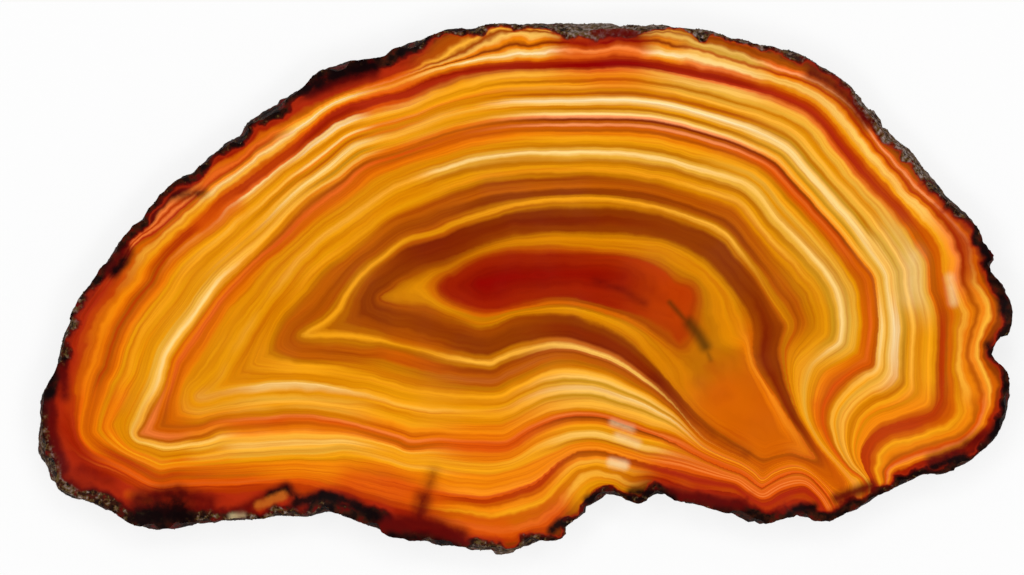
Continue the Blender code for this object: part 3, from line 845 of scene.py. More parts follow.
# %% Band colours of each side
BAND_COLOURS = {
    "crown": """
        0 bark, 0.6 brown, 1 rust, 1.4 light amber, 1.8 brown, 2.2 cream amber, 2.6 orange,
        3 dark brown, 3.3 orange, 3.6 cream amber, 4 pale cream, 4.3 cream amber, 4.6 orange, 5 brick,
        5.4 blood, 6 blood, 6.6 blood, 7 sienna, 7.5 light amber, 8 light amber, 8.5 amber, 9 ochre,
        9.5 amber, 10 light amber, 10.5 honey, 11 rust, 11.4 honey, 11.8 cream amber, 12.4 pale cream,
        13 cream amber, 13.5 gold, 14 ochre, 14.5 sand, 15 cream, 15.4 pale salmon, 16 umber,
        16.5 rust, 17 pale salmon, 17.4 burnt, 18 rust, 18.4 orange, 19 amber, 19.5 gold, 20 ochre,
        20.5 sand, 21 cream, 21.4 sand, 22 ochre, 22.5 gold, 23 amber, 23.5 ochre, 24 brown, 24.6 rust,
        25 rust, 25.5 dark brown, 26 dark brown, 26.5 ochre, 27 amber, 27.5 ochre, 28 dark brown,
        28.5 umber, 29 dark brown, 29.5 ochre, 30 honey, 30.5 honey, 31 rust, 31.5 brick, 32 blood,
        33 deep red""",
    "right shoulder": """
        0 bark, 1 brown, 1.5 vermilion, 2 pale salmon, 2.5 burnt, 2.9 brick, 3.3 orange,
        3.8 cream amber, 4.2 cream amber, 4.6 amber, 5 burnt, 5.5 brick, 6 garnet, 6.7 garnet,
        7.1 brick, 7.5 vermilion, 8 light amber, 8.5 sand, 9 honey, 9.5 gold, 10 light amber,
        10.5 sand, 11 ochre, 11.5 olive, 12 cream amber, 12.5 cream, 13 cream, 13.5 sand, 14 olive,
        14.5 amber, 15 light amber, 15.5 bright orange, 16 dark brown, 16.5 brick, 17 vermilion,
        17.5 red orange, 18 burnt, 18.5 ochre, 19 amber, 19.5 sand, 20 gold, 20.5 sand, 21 cream amber,
        21.5 sand, 22 ochre, 22.5 gold, 23 light amber, 23.5 honey, 24 rust, 24.6 rust, 25 rust,
        25.6 dark brown, 26 brown, 26.5 ochre, 27 light amber, 27.5 ochre, 28 dark brown,
        29 dark brown, 29.5 ochre, 30 gold, 30.5 gold, 31 honey, 31.6 ochre, 32 blood, 33 deep red""",
    "nose": """
        0 maroon, 1 dark brown, 1.5 burnt, 2 light amber, 2.5 bright orange, 3 rust, 3.5 orange,
        4 light amber, 4.5 honey, 5 burnt, 5.5 rust, 6 brick, 6.5 brick, 7 rust, 7.5 gold, 8 amber,
        8.5 gold, 9 honey, 9.5 gold, 10 light amber, 10.5 gold, 11 olive, 11.5 sand, 12 pale cream,
        12.6 pale cream, 13 cream, 13.5 haze, 14 sand, 14.5 cream amber, 15 cream, 15.5 cream amber,
        16 rust, 16.5 burnt, 17 vermilion, 17.5 burnt, 18 burnt, 18.5 gold, 19 sand, 19.5 sand,
        20 straw, 20.5 haze, 21 cream, 21.5 sand, 22 olive, 23 gold, 24 ochre, 25 rust, 25.5 brown,
        26 rust, 26.5 ochre, 27 honey, 27.5 rust, 28 brown, 28.5 umber, 29 dark brown, 29.5 rust,
        30 honey, 31 honey, 32 rust, 33 deep red""",
    "jaw": """
        0 maroon, 1 blood, 1.4 burnt, 2 bright orange, 2.6 salmon, 3 red orange, 3.5 rust, 4 orange,
        4.5 amber, 5 burnt, 5.5 brick, 6 brick, 7 brick, 7.5 burnt, 8 orange, 8.6 orange, 9.5 honey,
        10 orange, 10.5 amber, 11 honey, 11.5 honey, 12 amber, 12.6 light amber, 13.2 light amber,
        14 sand, 14.5 amber, 15 light amber, 15.5 honey, 16 burnt, 16.5 red orange, 17 burnt,
        17.5 tangerine, 18 orange, 18.6 honey, 19.3 gold, 20 gold, 20.6 amber, 21.6 light amber,
        22 light amber, 23 amber, 25 orange, 26.5 burnt, 27.4 brick, 28 blood, 28.6 blood, 29 burnt,
        29.5 salmon, 30 orange, 31 honey, 32 burnt, 33 burnt""",
    "canal": """
        0 bark, 1 maroon, 2 maroon, 3 blood, 3.6 blood, 4.2 brick, 4.8 brick, 5.5 garnet, 6.5 garnet,
        7 brick, 7.6 brick, 8 red orange, 8.6 red orange, 9.3 salmon, 10 red orange, 10.7 salmon,
        11.4 red orange, 12 vermilion, 12.6 red orange, 13.2 vermilion, 14 burnt, 15 brick, 15.6 brick,
        16.3 red orange, 17 vermilion, 17.6 burnt, 18.3 tangerine, 19 red orange, 19.6 tangerine,
        20.4 bright orange, 21 burnt, 22 vermilion, 22.6 tangerine, 23.3 burnt, 24 burnt,
        24.6 tangerine, 25.4 burnt, 26.4 tangerine, 27.2 burnt, 28 burnt, 28.6 rust, 29 rust,
        29.5 burnt, 30 burnt, 30.5 burnt, 31.2 burnt, 31.8 ochre, 33 ochre""",
    "arch": """
        0 bark, 0.6 brown, 1 honey, 1.5 gold, 2 amber, 2.5 light amber, 3 honey, 3.4 honey, 4 amber,
        4.5 light amber, 5 bright orange, 5.4 rust, 6 brown, 6.6 brown, 7.2 burnt, 8 bright orange,
        8.6 bright orange, 9.2 orange, 10 orange, 10.6 honey, 11 ochre, 11.5 sand, 12 cream amber,
        12.6 cream amber, 13 sand, 13.5 gold, 14 gold, 14.5 amber, 15 orange, 15.5 rust, 16 dark brown,
        16.5 vermilion, 17 salmon, 17.5 burnt, 18 honey, 18.5 light amber, 19 light amber, 19.5 sand,
        20 olive, 20.5 cream amber, 21 cream, 21.5 sand, 22 olive, 22.5 cream amber, 23 light amber,
        23.5 honey, 24 ochre, 24.5 rust, 25 rust, 25.5 brown, 26 sienna, 26.5 cream amber,
        27 cream amber, 27.5 sienna, 28 umber, 28.5 umber, 29 dark brown, 29.5 honey, 30 gold,
        30.5 ochre, 31 burnt, 31.5 brown, 32 blood, 33 deep red""",
    "dip": """
        0 maroon, 1 dark brown, 1.6 brick, 2.2 red orange, 2.7 vermilion, 3.2 burnt, 3.6 burnt,
        4 amber, 4.5 orange, 5 burnt, 5.5 brick, 6 brick, 6.4 red orange, 7 vermilion,
        7.6 bright orange, 8 bright orange, 8.6 orange, 9.2 orange, 10 orange, 10.6 amber, 11.2 amber,
        12 amber, 12.6 amber, 13.2 orange, 14 tangerine, 15 tangerine, 15.5 red orange, 16 red orange,
        16.5 red orange, 17 vermilion, 17.5 tangerine, 18 tangerine, 18.6 orange, 19.2 orange,
        20 honey, 20.6 amber, 21 amber, 21.5 gold, 22 honey, 22.5 honey, 23 amber, 23.5 gold, 24 ochre,
        24.5 rust, 25 sienna, 25.5 rust, 26 brown, 26.5 ochre, 27 light amber, 27.5 ochre,
        28 dark brown, 28.5 dark brown, 29 brown, 29.5 ochre, 30 honey, 30.5 ochre, 31 burnt,
        31.5 brick, 32 blood, 33 deep red""",
    "sole": """
        0 maroon, 1 maroon, 1.6 blood, 2.2 blood, 3 brick, 3.6 brick, 4.4 red orange, 5 red orange,
        6 red orange, 7 red orange, 8 burnt, 8.6 tangerine, 9 orange, 9.5 amber, 10 light amber,
        11 amber, 12 amber, 13 amber, 14 amber, 14.6 light amber, 15 bright orange, 15.5 burnt,
        16 rust, 16.5 burnt, 17 salmon, 17.5 tangerine, 18 burnt, 18.5 orange, 19 amber, 19.5 gold,
        20 honey, 20.5 amber, 21 light amber, 21.5 amber, 22 gold, 22.5 gold, 23 amber, 23.5 gold,
        24 honey, 25 ochre, 25.5 burnt, 26 burnt, 26.5 ochre, 27 honey, 27.5 burnt, 28 rust,
        28.5 brown, 29 brown, 29.5 rust, 30 honey, 31 honey, 32 blood, 33 deep red""",
    "toe": """
        0 maroon, 1 garnet, 1.5 brick, 2 brick, 2.5 brick, 3 red orange, 3.5 vermilion, 4 red orange,
        4.5 red orange, 5 burnt, 5.5 rust, 6 burnt, 6.5 burnt, 7 burnt, 7.5 tangerine, 8 burnt,
        8.5 tangerine, 9 honey, 9.5 honey, 10 orange, 10.6 amber, 11.2 light amber, 11.8 light amber,
        12.3 amber, 13 gold, 14 sand, 14.5 light amber, 15 cream amber, 15.5 honey, 16 rust,
        16.5 bright orange, 17 burnt, 17.5 rust, 18 ochre, 18.5 honey, 19 amber, 19.5 light amber,
        20 sand, 20.4 gold, 21 cream, 21.5 sand, 22 honey, 22.5 honey, 23 amber, 23.5 amber, 24 ochre,
        24.5 rust, 25 rust, 25.5 rust, 26 rust, 26.5 brown, 27 ochre, 27.4 rust, 28 brown, 29 brown,
        29.5 rust, 30 honey, 31 ochre, 32 blood, 33 deep red""",
    "heel": """
        0 bark, 1 maroon, 1.6 blood, 2.4 blood, 3 garnet, 3.6 brick, 4 burnt, 4.6 orange,
        5.1 tangerine, 5.5 burnt, 6 rust, 6.5 brick, 7 rust, 7.5 burnt, 8 tangerine, 8.5 orange,
        9 gold, 10 amber, 10.6 gold, 11 honey, 12 gold, 13 gold, 13.6 gold, 14 sand, 14.5 sand,
        15 cream amber, 15.3 cream, 15.6 light amber, 16 honey, 16.4 burnt, 16.9 tangerine,
        17.4 vermilion, 18 burnt, 18.6 tangerine, 19.2 honey, 20 gold, 20.6 gold, 21.3 gold, 22 honey,
        23 honey, 23.6 honey, 24.2 ochre, 24.8 rust, 25.4 rust, 26 brown, 26.7 ochre, 27 sand,
        27.3 ochre, 27.6 brown, 28 dark brown, 28.6 umber, 29 umber, 29.5 rust, 30 gold, 31 burnt,
        32 blood, 33 deep red""",
    "back": """
        0 bark, 0.9 maroon, 1.5 salmon, 1.9 brick, 2.3 salmon, 2.8 garnet, 3.2 rust, 3.6 burnt,
        4 light amber, 4.5 amber, 5 burnt, 5.5 brick, 6 brick, 6.4 brick, 7 burnt, 7.5 tangerine,
        8 burnt, 8.5 honey, 9 amber, 9.5 light amber, 10 amber, 10.5 gold, 11 honey, 11.5 gold,
        12 amber, 12.4 amber, 13 gold, 13.5 gold, 14 gold, 14.6 light amber, 15.1 light amber,
        15.5 amber, 16 honey, 16.5 rust, 17 vermilion, 17.5 burnt, 18 burnt, 18.6 honey, 19.2 gold,
        20 honey, 20.5 gold, 21 light amber, 21.5 gold, 22 honey, 22.5 gold, 23 amber, 23.5 honey,
        24 ochre, 24.5 rust, 25 rust, 25.5 brown, 26 brown, 26.5 ochre, 27 sand, 27.5 rust,
        28 dark brown, 28.5 umber, 29 umber, 29.6 dark brown, 30.3 rust, 31 rust, 32 blood, 33 deep red""",
    "left shoulder": """
        0 maroon, 0.9 garnet, 1.5 red orange, 2 salmon, 2.6 tangerine, 3 tangerine, 3.5 bright orange,
        4 orange, 4.5 vermilion, 5 red orange, 5.5 brick, 6 garnet, 6.6 garnet, 7 red orange,
        7.5 orange, 8 light amber, 8.5 amber, 9 gold, 9.6 orange, 10.1 tangerine, 10.6 tangerine,
        11 honey, 11.5 honey, 12 tangerine, 12.5 honey, 13 amber, 13.5 light amber, 14 amber,
        14.6 gold, 15.1 amber, 15.5 tangerine, 16 burnt, 16.5 rust, 17 red orange, 17.5 rust, 18 burnt,
        18.5 tangerine, 19.2 gold, 20 honey, 20.5 gold, 21 amber, 21.5 gold, 22 honey, 22.5 honey,
        23 gold, 23.5 honey, 24 rust, 24.6 rust, 25 brown, 25.5 brown, 26 brown, 26.5 rust, 27 gold,
        27.5 rust, 28 umber, 28.5 umber, 29 umber, 29.5 dark brown, 30 brown, 31 brown, 32.3 blood,
        33 deep red""",
}
LOCAL_COLOURS = {  # side: the side that it is like, and the bands that look different here
    "high left": ("back", """
        0 bark, 1 blood, 1.5 burnt, 2 vermilion, 2.5 brick, 3 rust, 3.4 bright orange, 4 cream,
        4.4 light amber, 4.8 burnt, 5.5 brick, 6 brick, 6.5 brick, 7 vermilion, 7.3 cream,
        7.8 light amber, 8.5 gold, 9 gold, 9.5 amber, 10 light amber, 10.5 honey, 11 ochre, 11.5 honey,
        12 light amber, 12.5 sand, 13 cream, 13.5 cream amber, 14 sand"""),
    "upper left": ("left shoulder", """
        0 maroon, 1 garnet, 1.5 rust, 2 bright orange, 2.5 light amber, 3 cream amber, 3.5 pale cream,
        4 cream amber, 4.5 orange, 5 red orange, 5.5 brick, 6 garnet, 6.5 blood, 7 brick, 7.3 cream,
        7.7 pale cream, 8 light amber, 8.5 honey, 9 honey, 9.5 amber, 10 cream, 10.5 bright orange,
        11 honey, 11.5 rust, 12 honey, 12.5 cream amber, 13 cream, 13.4 cream amber, 14 gold,
        14.5 olive, 15 gold, 15.4 cream amber, 15.9 bright orange, 16.5 brown, 17 vermilion, 17.5 burnt"""),
    "right end": ("nose", """
        2 garnet, 3 blood, 3.5 salmon, 4 bright orange, 4.5 amber, 5 burnt, 5.5 burnt, 6 rust,
        6.6 rust, 7 tangerine, 7.5 sand, 8 haze, 8.5 haze, 9 straw, 9.5 haze, 10 cream amber,
        10.5 straw, 11 straw, 11.5 haze, 12 cream amber, 12.5 cream amber, 13 cream, 13.5 haze,
        14 sand, 14.5 sand, 15 light amber, 15.6 orange, 16 sienna, 16.5 burnt, 18 rust"""),
    "corner": ("toe", """
        0 maroon, 0.8 maroon, 1.3 deep red, 1.8 garnet, 2.2 vermilion, 2.6 garnet, 3 red orange,
        3.6 vermilion, 4.4 red orange, 5 brick, 6 garnet, 7 brick, 7.6 rust, 8.2 burnt,
        8.8 bright orange, 9.5 orange, 10.2 orange, 10.7 amber, 11.1 tangerine, 11.6 orange,
        12.2 honey, 13 honey, 13.6 honey, 14.1 honey, 14.6 sand, 15 cream amber, 15.5 light amber,
        16 rust, 16.5 salmon, 17 burnt, 17.5 rust, 18 burnt, 19 burnt, 20 tangerine, 20.6 orange,
        21 amber"""),
    "low left": ("toe", """
        2.5 red orange, 3 red orange, 4 tangerine, 5 tangerine, 6 orange, 7 orange, 8 orange, 9 gold,
        10 amber, 10.6 sand, 11.4 sand, 12 light amber, 12.6 cream amber, 13.2 cream amber,
        13.8 light amber, 14.4 light amber, 15 bright orange, 15.4 tangerine, 16 burnt,
        16.6 red orange, 17 salmon, 17.5 honey, 18 honey, 18.5 sand, 19 light amber, 19.5 light amber,
        20 sand, 20.5 gold"""),
    "red stain": ("crown", """
        0 ash, 1 skin, 1.5 skin, 2 brown, 2.6 blood, 3 deep red, 3.5 brick, 4 salmon, 4.4 vermilion,
        5 brick, 5.4 blood, 6 deep red, 6.6 deep red, 7 blood, 7.5 vermilion, 8 bright orange,
        8.5 orange, 9 burnt, 9.5 tangerine, 10 bright orange, 10.5 honey, 11 brown, 11.5 sienna,
        12 cream amber"""),
    "gold": ("right shoulder", """
        27 ochre, 27.6 brown, 28 dark brown, 29 dark brown, 29.5 ochre, 30 gold, 30.5 honey, 31 ochre,
        31.5 rust, 32 brick, 33 blood"""),
    "left lens": ("heel", """
        21 gold, 21.6 gold, 22.4 honey, 23 honey, 23.6 gold, 24 honey, 24.5 rust, 25 rust, 25.5 brown,
        26 rust, 26.6 ochre, 27 amber, 27.4 ochre, 28 brown, 28.5 dark brown, 29 dark brown,
        29.5 brown, 30 ochre, 30.5 gold"""),
    "wedge": ("jaw", """
        19 honey, 20 gold, 21 sand, 22 amber, 22.5 amber, 23 gold, 23.5 honey, 24 honey, 25 honey,
        26 burnt, 26.5 ochre, 27 ochre, 27.5 rust, 28 dark brown, 28.6 umber, 29 brown, 29.5 burnt,
        30 bright orange, 30.5 tangerine, 31 burnt, 32 burnt"""),
    "left edge": ("heel", """
        3 blood, 3.5 garnet, 4 brick, 4.5 red orange, 5 tangerine, 6 burnt, 7 burnt, 8 tangerine,
        9 honey, 10 tangerine, 11 tangerine, 12 honey, 13.4 honey, 14 gold, 14.5 gold, 15 sand,
        15.5 light amber, 16 honey, 16.5 rust"""),
    "crown left": ("crown", """
        4 light amber, 4.5 orange, 5 rust, 5.5 brick, 6 blood, 6.5 garnet, 7 sienna, 7.5 amber,
        8 amber, 8.5 gold, 9 gold, 9.5 amber, 10 orange, 10.5 honey, 11.5 honey, 12 gold, 12.5 amber,
        13 light amber, 13.5 amber, 14 gold, 14.6 gold, 15 amber, 15.5 tangerine, 16 rust, 16.5 burnt,
        18 burnt, 18.5 tangerine, 19 orange, 19.5 gold, 20 honey"""),
    "crown right": ("crown", """
        1 dark brown, 1.5 brown, 2 haze, 2.5 straw, 3 sienna, 3.4 cream amber, 4 cream, 4.5 salmon,
        5 brick, 5.4 blood, 6 blood, 6.5 garnet, 7 salmon, 7.5 cream amber, 8 cream amber, 8.5 sand,
        9 ochre, 9.5 sand, 10 light amber, 10.5 honey, 11 rust, 11.4 honey, 12 cream"""),
}


def read_stops(listed):
    """Pairs of band number and colour name from a list such as "0 soot, 1.5 brick"."""
    pairs = [stop.split(maxsplit=1) for stop in listed.split(",")]
    return [(float(number), colour.strip()) for number, colour in pairs]


stops_of_side = {side: read_stops(listed) for side, listed in BAND_COLOURS.items()}
for side, (like, listed) in LOCAL_COLOURS.items():
    own = read_stops(listed)
    kept = [stop for stop in stops_of_side[like] if not own[0][0] <= stop[0] <= own[-1][0]]
    stops_of_side[side] = sorted(kept + own)
print({side: len(stops) for side, stops in stops_of_side.items()})

# %% [markdown]
# A colour ramp turns the band number into a colour. One ramp holds at most 32 stops and is kept in
# a table of 256 steps, so each side gets three, one for each third of its bands. All the sides
# are then added up, each by its share.

# %% Band colour from ramps
RAMP_ENDS = [0.0, 11.0, 22.0, 33.0]


def colours_between(stops, first, last):
    """The stops from one band number to another, with the colours at both ends worked out."""
    numbers = [number for number, colour in stops]
    colours = np.array([linear(PALETTE[colour]) for number, colour in stops])
    wanted = [first, *(number for number in numbers if first < number < last), last]
    return [(number, [np.interp(number, numbers, part) for part in colours.T]) for number in wanted]


def band_ramp(tree, band_number, stops):
    """A ramp from the first of these stops to the last."""
    first, last = stops[0][0], stops[-1][0]
    ramp = add(tree, "ShaderNodeValToRGB", {0: ranged(tree, band_number, first, last, 0.0, 1.0)})
    listed = ramp.color_ramp
    listed.interpolation = "EASE"
    while len(listed.elements) < len(stops):
        listed.elements.new(0.5)
    for element, (place, colour) in zip(listed.elements, stops):
        element.position = (place - first) / (last - first)
        element.color = colour
    return ramp.outputs[0]


def read_three(tree, name):
    """The three numbers of the vector attribute with this name."""
    read = add(tree, "ShaderNodeAttribute", attribute_name=name)
    return add(tree, "ShaderNodeSeparateXYZ", {0: read.outputs["Vector"]}).outputs[:]


def banded_colour(tree, band_number):
    """The colour of the stone at this band number, blended between its sides."""
    shares_of_sides = []
    for k in range(len(in_threes(stops_of_side))):
        shares_of_sides += read_three(tree, f"sides_{k}")
    past = [reckon(tree, "GREATER_THAN", band_number, end) for end in RAMP_ENDS[1:-1]]
    total = None
    for stops, share in zip(stops_of_side.values(), shares_of_sides):
        thirds = [
            band_ramp(tree, band_number, colours_between(stops, first, last))
            for first, last in zip(RAMP_ENDS, RAMP_ENDS[1:])
        ]
        chosen = thirds[0]
        for passed, third in zip(past, thirds[1:]):
            chosen = mixed(tree, chosen, third, passed)
        weighed = {0: chosen, 1: share}
        if total is not None:
            weighed[2] = total
        total = add(tree, "ShaderNodeVectorMath", weighed, operation="MULTIPLY_ADD").outputs[0]
    return total


print("three ramps for each of", len(stops_of_side), "sides")

# %% [markdown]
# ## Wobble and fine streaks
#
# Nature never draws a smooth line. A slow noise pushes the bands to and fro by a fraction of a
# band, more so near the rim, where the wall of the hollow was rough. A second noise is stretched
# along the bands, so it draws the hair lines between them that are too many to list. A hair line
# with more iron isn't grey but a deeper orange, so it is multiplied with a warm tint.

# %% Wobble and streaks
WOBBLES = [(4.5, 0.9), (1.9, 0.6)]  # size in millimetres, bands
WOBBLE_AT_RIM = 1.6
WOBBLE_INSIDE = 0.5
WOBBLE_REACH = 7.0  # millimetres
IRON_TINT = "e7be89"
IRON_NOISE = (0.5, 0.7)  # where in its noise a line begins to hold iron, and where it holds most
PALE_NOISE = (0.3, 0.5)  # where in its noise a line is palest, and where it no longer is
STREAKS = [  # waves to a band, waves to a millimetre along it, how much iron and how much lighter
    (1.5, 0.05, 0.5, 0.08),
    (5.0, 0.12, 0.4, 0.06),
]


def wobbled_band(tree, place, rim_mm):
    """The band number, pushed to and fro."""
    wobble = ranged(tree, rim_mm, 0.0, WOBBLE_REACH, WOBBLE_AT_RIM, WOBBLE_INSIDE)
    band_number = add(tree, "ShaderNodeAttribute", attribute_name="band").outputs["Fac"]
    for size, bands in WOBBLES:
        push = reckon(tree, "SUBTRACT", clouds(tree, place, 1 / size, detail=2.0), 0.5)
        push = reckon(tree, "MULTIPLY", push, bands)
        band_number = reckon(tree, "MULTIPLY_ADD", push, wobble, band_number)
    return band_number


def streaked(tree, colour, place, band_number):
    """The colour, a little paler and richer in iron in lines along the bands."""
    for to_band, to_mm, iron, lighter in STREAKS:
        across = reckon(tree, "MULTIPLY", band_number, to_band)
        along = add(tree, "ShaderNodeVectorMath", {0: place, "Scale": to_mm}, operation="SCALE").outputs[0]
        stretched = add(tree, "ShaderNodeCombineXYZ", {2: across}).outputs[0]
        stretched = add(tree, "ShaderNodeVectorMath", {0: along, 1: stretched}, operation="ADD").outputs[0]
        line = clouds(tree, stretched, 1.0, detail=2.0)
        tinted = ranged(tree, line, *IRON_NOISE, 0.0, iron)
        colour = mixed(tree, colour, linear(IRON_TINT), tinted, "MULTIPLY")
        factor = ranged(tree, line, *PALE_NOISE, 1 + lighter, 1.0)
        colour = add(tree, "ShaderNodeVectorMath", {0: colour, "Scale": factor}, operation="SCALE").outputs[0]
    return colour


print(len(WOBBLES), "wobbles and", len(STREAKS), "kinds of streak")

# %% [markdown]
# ## Marks and rind over the bands
#
# Where a point is nearer to the rim than the local width, the stone is dark and grainy, and for some
# millimetres more its iron stains the bands maroon. The marks come last, since lumps of rind are
# among them. Each mark's value is made uneven by a noise and then turned into a soft edge.

# %% Marks and rind
MARK_BLENDS = {  # kind: colour, how much at most, how uneven
    "scarlet": ("red orange", 0.65, 0.2),
    "olive brown": ("olive brown", 0.8, 0.0),
    "pale": ("pale cream", 0.65, 0.2),
    "maroon": ("maroon", 0.95, 0.25),
    "soot": ("night", 0.97, 0.45),
    "tan": ("sienna", 0.85, 0.8),
}
MARK_PATCHES = 1.1  # waves to a millimetre
MARK_FULL = 0.9  # the value at which a mark covers as much as it can
NOISE_RANGE = (0.3, 0.7)  # where nearly all of a cloudy noise lies
RAGGED = [(2.2, 1.7), (0.7, 0.6)]  # size of the rind's raggedness and its depth, millimetres
FRESH_CRUST = [(0.34, "night"), (0.45, "soot"), (0.56, "bark"), (0.68, "maroon")]
OLD_CRUST = [(0.48, "soot"), (0.58, "bark"), (0.66, "moss"), (0.73, "skin"), (0.86, "ash")]
FRESH_PATCHES = 0.8  # waves to a millimetre
OLD_PATCHES = 2.0
SPREAD_PATCHES = 1.5  # of the places where old crust lies over fresh crust
OLD_LIFT = 0.24  # how much lighter a fully weathered place is, on the ramp of old crust
OLD_SPREAD = (0.3, 0.3)  # how far old crust spreads: more for each share that is weathered, and least
OLD_EDGE = 0.05
OLD_MOST = 0.9
RED_STAIN = (0.2, 1.3, 0.75)  # widths of the stain where it begins to fade and ends, and its strength
DARK_STAIN = (0.0, 0.6, 0.95)
CRUST = (-0.25, 0.2, 1.0)  # the same, in millimetres past the dark edge


def with_marks(tree, colour, place):
    """The marks painted over this colour."""
    values = {}
    for k, kinds in enumerate(in_threes(MARK_KINDS)):
        values.update(zip(kinds, read_three(tree, f"marks_{k}")))
    uneven = clouds(tree, place, MARK_PATCHES, detail=3.0)
    for kind, (name, most, spread) in MARK_BLENDS.items():
        push = ranged(tree, uneven, *NOISE_RANGE, 1 - spread / 2, 1 + spread / 2)
        value = reckon(tree, "MULTIPLY", values[kind], push)
        factor = ranged(tree, value, 0.0, MARK_FULL, 0.0, most, "SMOOTHSTEP")
        colour = mixed(tree, colour, linear(PALETTE[name]), factor)
    return colour


def ramp_of(tree, value, stops):
    """A colour ramp of palette names at these places between 0 and 1."""
    ramp = add(tree, "ShaderNodeValToRGB", {0: value})
    listed = ramp.color_ramp.elements
    for k in range(len(stops) - len(listed)):
        listed.new(0.5)
    for element, (place, name) in zip(listed, stops):
        element.position, element.color = place, linear(PALETTE[name])
    return ramp.outputs[0]


def rind_colour(tree, place, weathered):
    """Dark crust, with this share of it weathered to brown and grey."""
    fresh = ramp_of(tree, clouds(tree, place, FRESH_PATCHES, detail=4.0), FRESH_CRUST)
    grey = reckon(tree, "MULTIPLY_ADD", weathered, OLD_LIFT, clouds(tree, place, OLD_PATCHES, detail=3.0))
    old = ramp_of(tree, grey, OLD_CRUST)
    reach = reckon(tree, "MULTIPLY_ADD", weathered, *OLD_SPREAD)
    beyond = reckon(tree, "SUBTRACT", clouds(tree, place, SPREAD_PATCHES, detail=3.0), reach)
    here = ranged(tree, beyond, -OLD_EDGE, OLD_EDGE, OLD_MOST, 0.0)
    return mixed(tree, fresh, old, here)


def fading(tree, value, start, end, most):
    """This much up to the start, nothing past the end, and a soft step between them."""
    return ranged(tree, value, start, end, most, 0.0, "SMOOTHSTEP")


def with_rind(tree, colour, place, rim_mm):
    """The dark edge and its stain over this colour."""
    dark_width, stain_width, weathered = read_three(tree, "rind")
    ragged = rim_mm
    for size, depth in RAGGED:
        push = reckon(tree, "SUBTRACT", clouds(tree, place, 1 / size, detail=1.0), 0.5)
        ragged = reckon(tree, "MULTIPLY_ADD", push, depth, ragged)
    past_dark = reckon(tree, "SUBTRACT", ragged, dark_width)
    stained = reckon(tree, "DIVIDE", past_dark, stain_width)
    colour = mixed(tree, colour, linear(PALETTE["garnet"]), fading(tree, stained, *RED_STAIN))
    colour = mixed(tree, colour, linear(PALETTE["maroon"]), fading(tree, stained, *DARK_STAIN))
    crust = rind_colour(tree, place, weathered)
    return mixed(tree, colour, crust, fading(tree, past_dark, *CRUST))


def place_in_mm(tree):
    place = add(tree, "ShaderNodeTexCoord").outputs["Object"]
    return add(tree, "ShaderNodeVectorMath", {0: place, "Scale": 1 / MM}, operation="SCALE").outputs[0]


def stone_colour(tree):
    """The colour of a sawn face at this point, and the point's place in millimetres."""
    place = place_in_mm(tree)
    rim_mm = add(tree, "ShaderNodeAttribute", attribute_name="rim_distance").outputs["Fac"]
    band_number = wobbled_band(tree, place, rim_mm)
    colour = banded_colour(tree, band_number)
    colour = streaked(tree, colour, place, band_number)
    colour = with_rind(tree, colour, place, rim_mm)
    return with_marks(tree, colour, place), place


print(len(MARK_BLENDS), "kinds of mark, then the rind")

# %% [markdown]
# ## Three finishes on one stone
#
# Chalcedony polished with fine oxide is as smooth as glass, with the refractive index of quartz, so
# its gloss is clear and its colours are deep. The back was only sawn: it is matt and a little
# paler, with faint parallel marks of the saw. The rind is dull, dark and grainy.

# %% Polished, sawn and rough
QUARTZ_IOR = 1.54
POLISH_CLOUDS = 0.15  # waves to a millimetre of the faint haze in the polish
POLISH_ROUGHNESS = (0.08, 0.16)
SAW_PITCH = 1.1  # millimetres between saw marks
WAVE_TURN = 2 * pi / 20  # scale of the wave texture for one wave to a unit
SAW_DUST = (0.10, 0.2)  # pale dust between the saw marks and in them
SAW_DEPTH = 0.02 * MM
SAW_RELIEF = 0.3  # how strongly the bumps turn the light
SAWN_ROUGHNESS = 0.6
RIND_BUMPS = 3.0  # waves to a millimetre
RIND_DEPTH = 0.15 * MM
RIND_RELIEF = 0.8
RIND_ROUGHNESS = 0.9
RIND_SHEEN = 0.15


def polished_agate():
    made, tree = empty_material("polished banded agate")
    colour, place = stone_colour(tree)
    haze = clouds(tree, place, POLISH_CLOUDS, detail=3.0)
    roughness = ranged(tree, haze, *NOISE_RANGE, *POLISH_ROUGHNESS)
    shader = add(tree, "ShaderNodeBsdfPrincipled", {
        "Base Color": colour, "Roughness": roughness, "IOR": QUARTZ_IOR})
    add(tree, "ShaderNodeOutputMaterial", {0: shader.outputs[0]})
    return made


def sawn_agate():
    made, tree = empty_material("sawn banded agate")
    colour, place = stone_colour(tree)
    marks_of_saw = add(tree, "ShaderNodeTexWave", {
        "Vector": place, "Scale": WAVE_TURN / SAW_PITCH, "Distortion": 0.6, "Detail": 2.0}).outputs["Fac"]
    dust = ranged(tree, marks_of_saw, 0.0, 1.0, *SAW_DUST)
    colour = mixed(tree, colour, linear(PALETTE["sand"]), dust)
    relief = add(tree, "ShaderNodeBump", {
        "Strength": SAW_RELIEF, "Distance": SAW_DEPTH, "Height": marks_of_saw})
    shader = add(tree, "ShaderNodeBsdfPrincipled", {
        "Base Color": colour, "Roughness": SAWN_ROUGHNESS, "IOR": QUARTZ_IOR, "Normal": relief.outputs[0]})
    add(tree, "ShaderNodeOutputMaterial", {0: shader.outputs[0]})
    return made


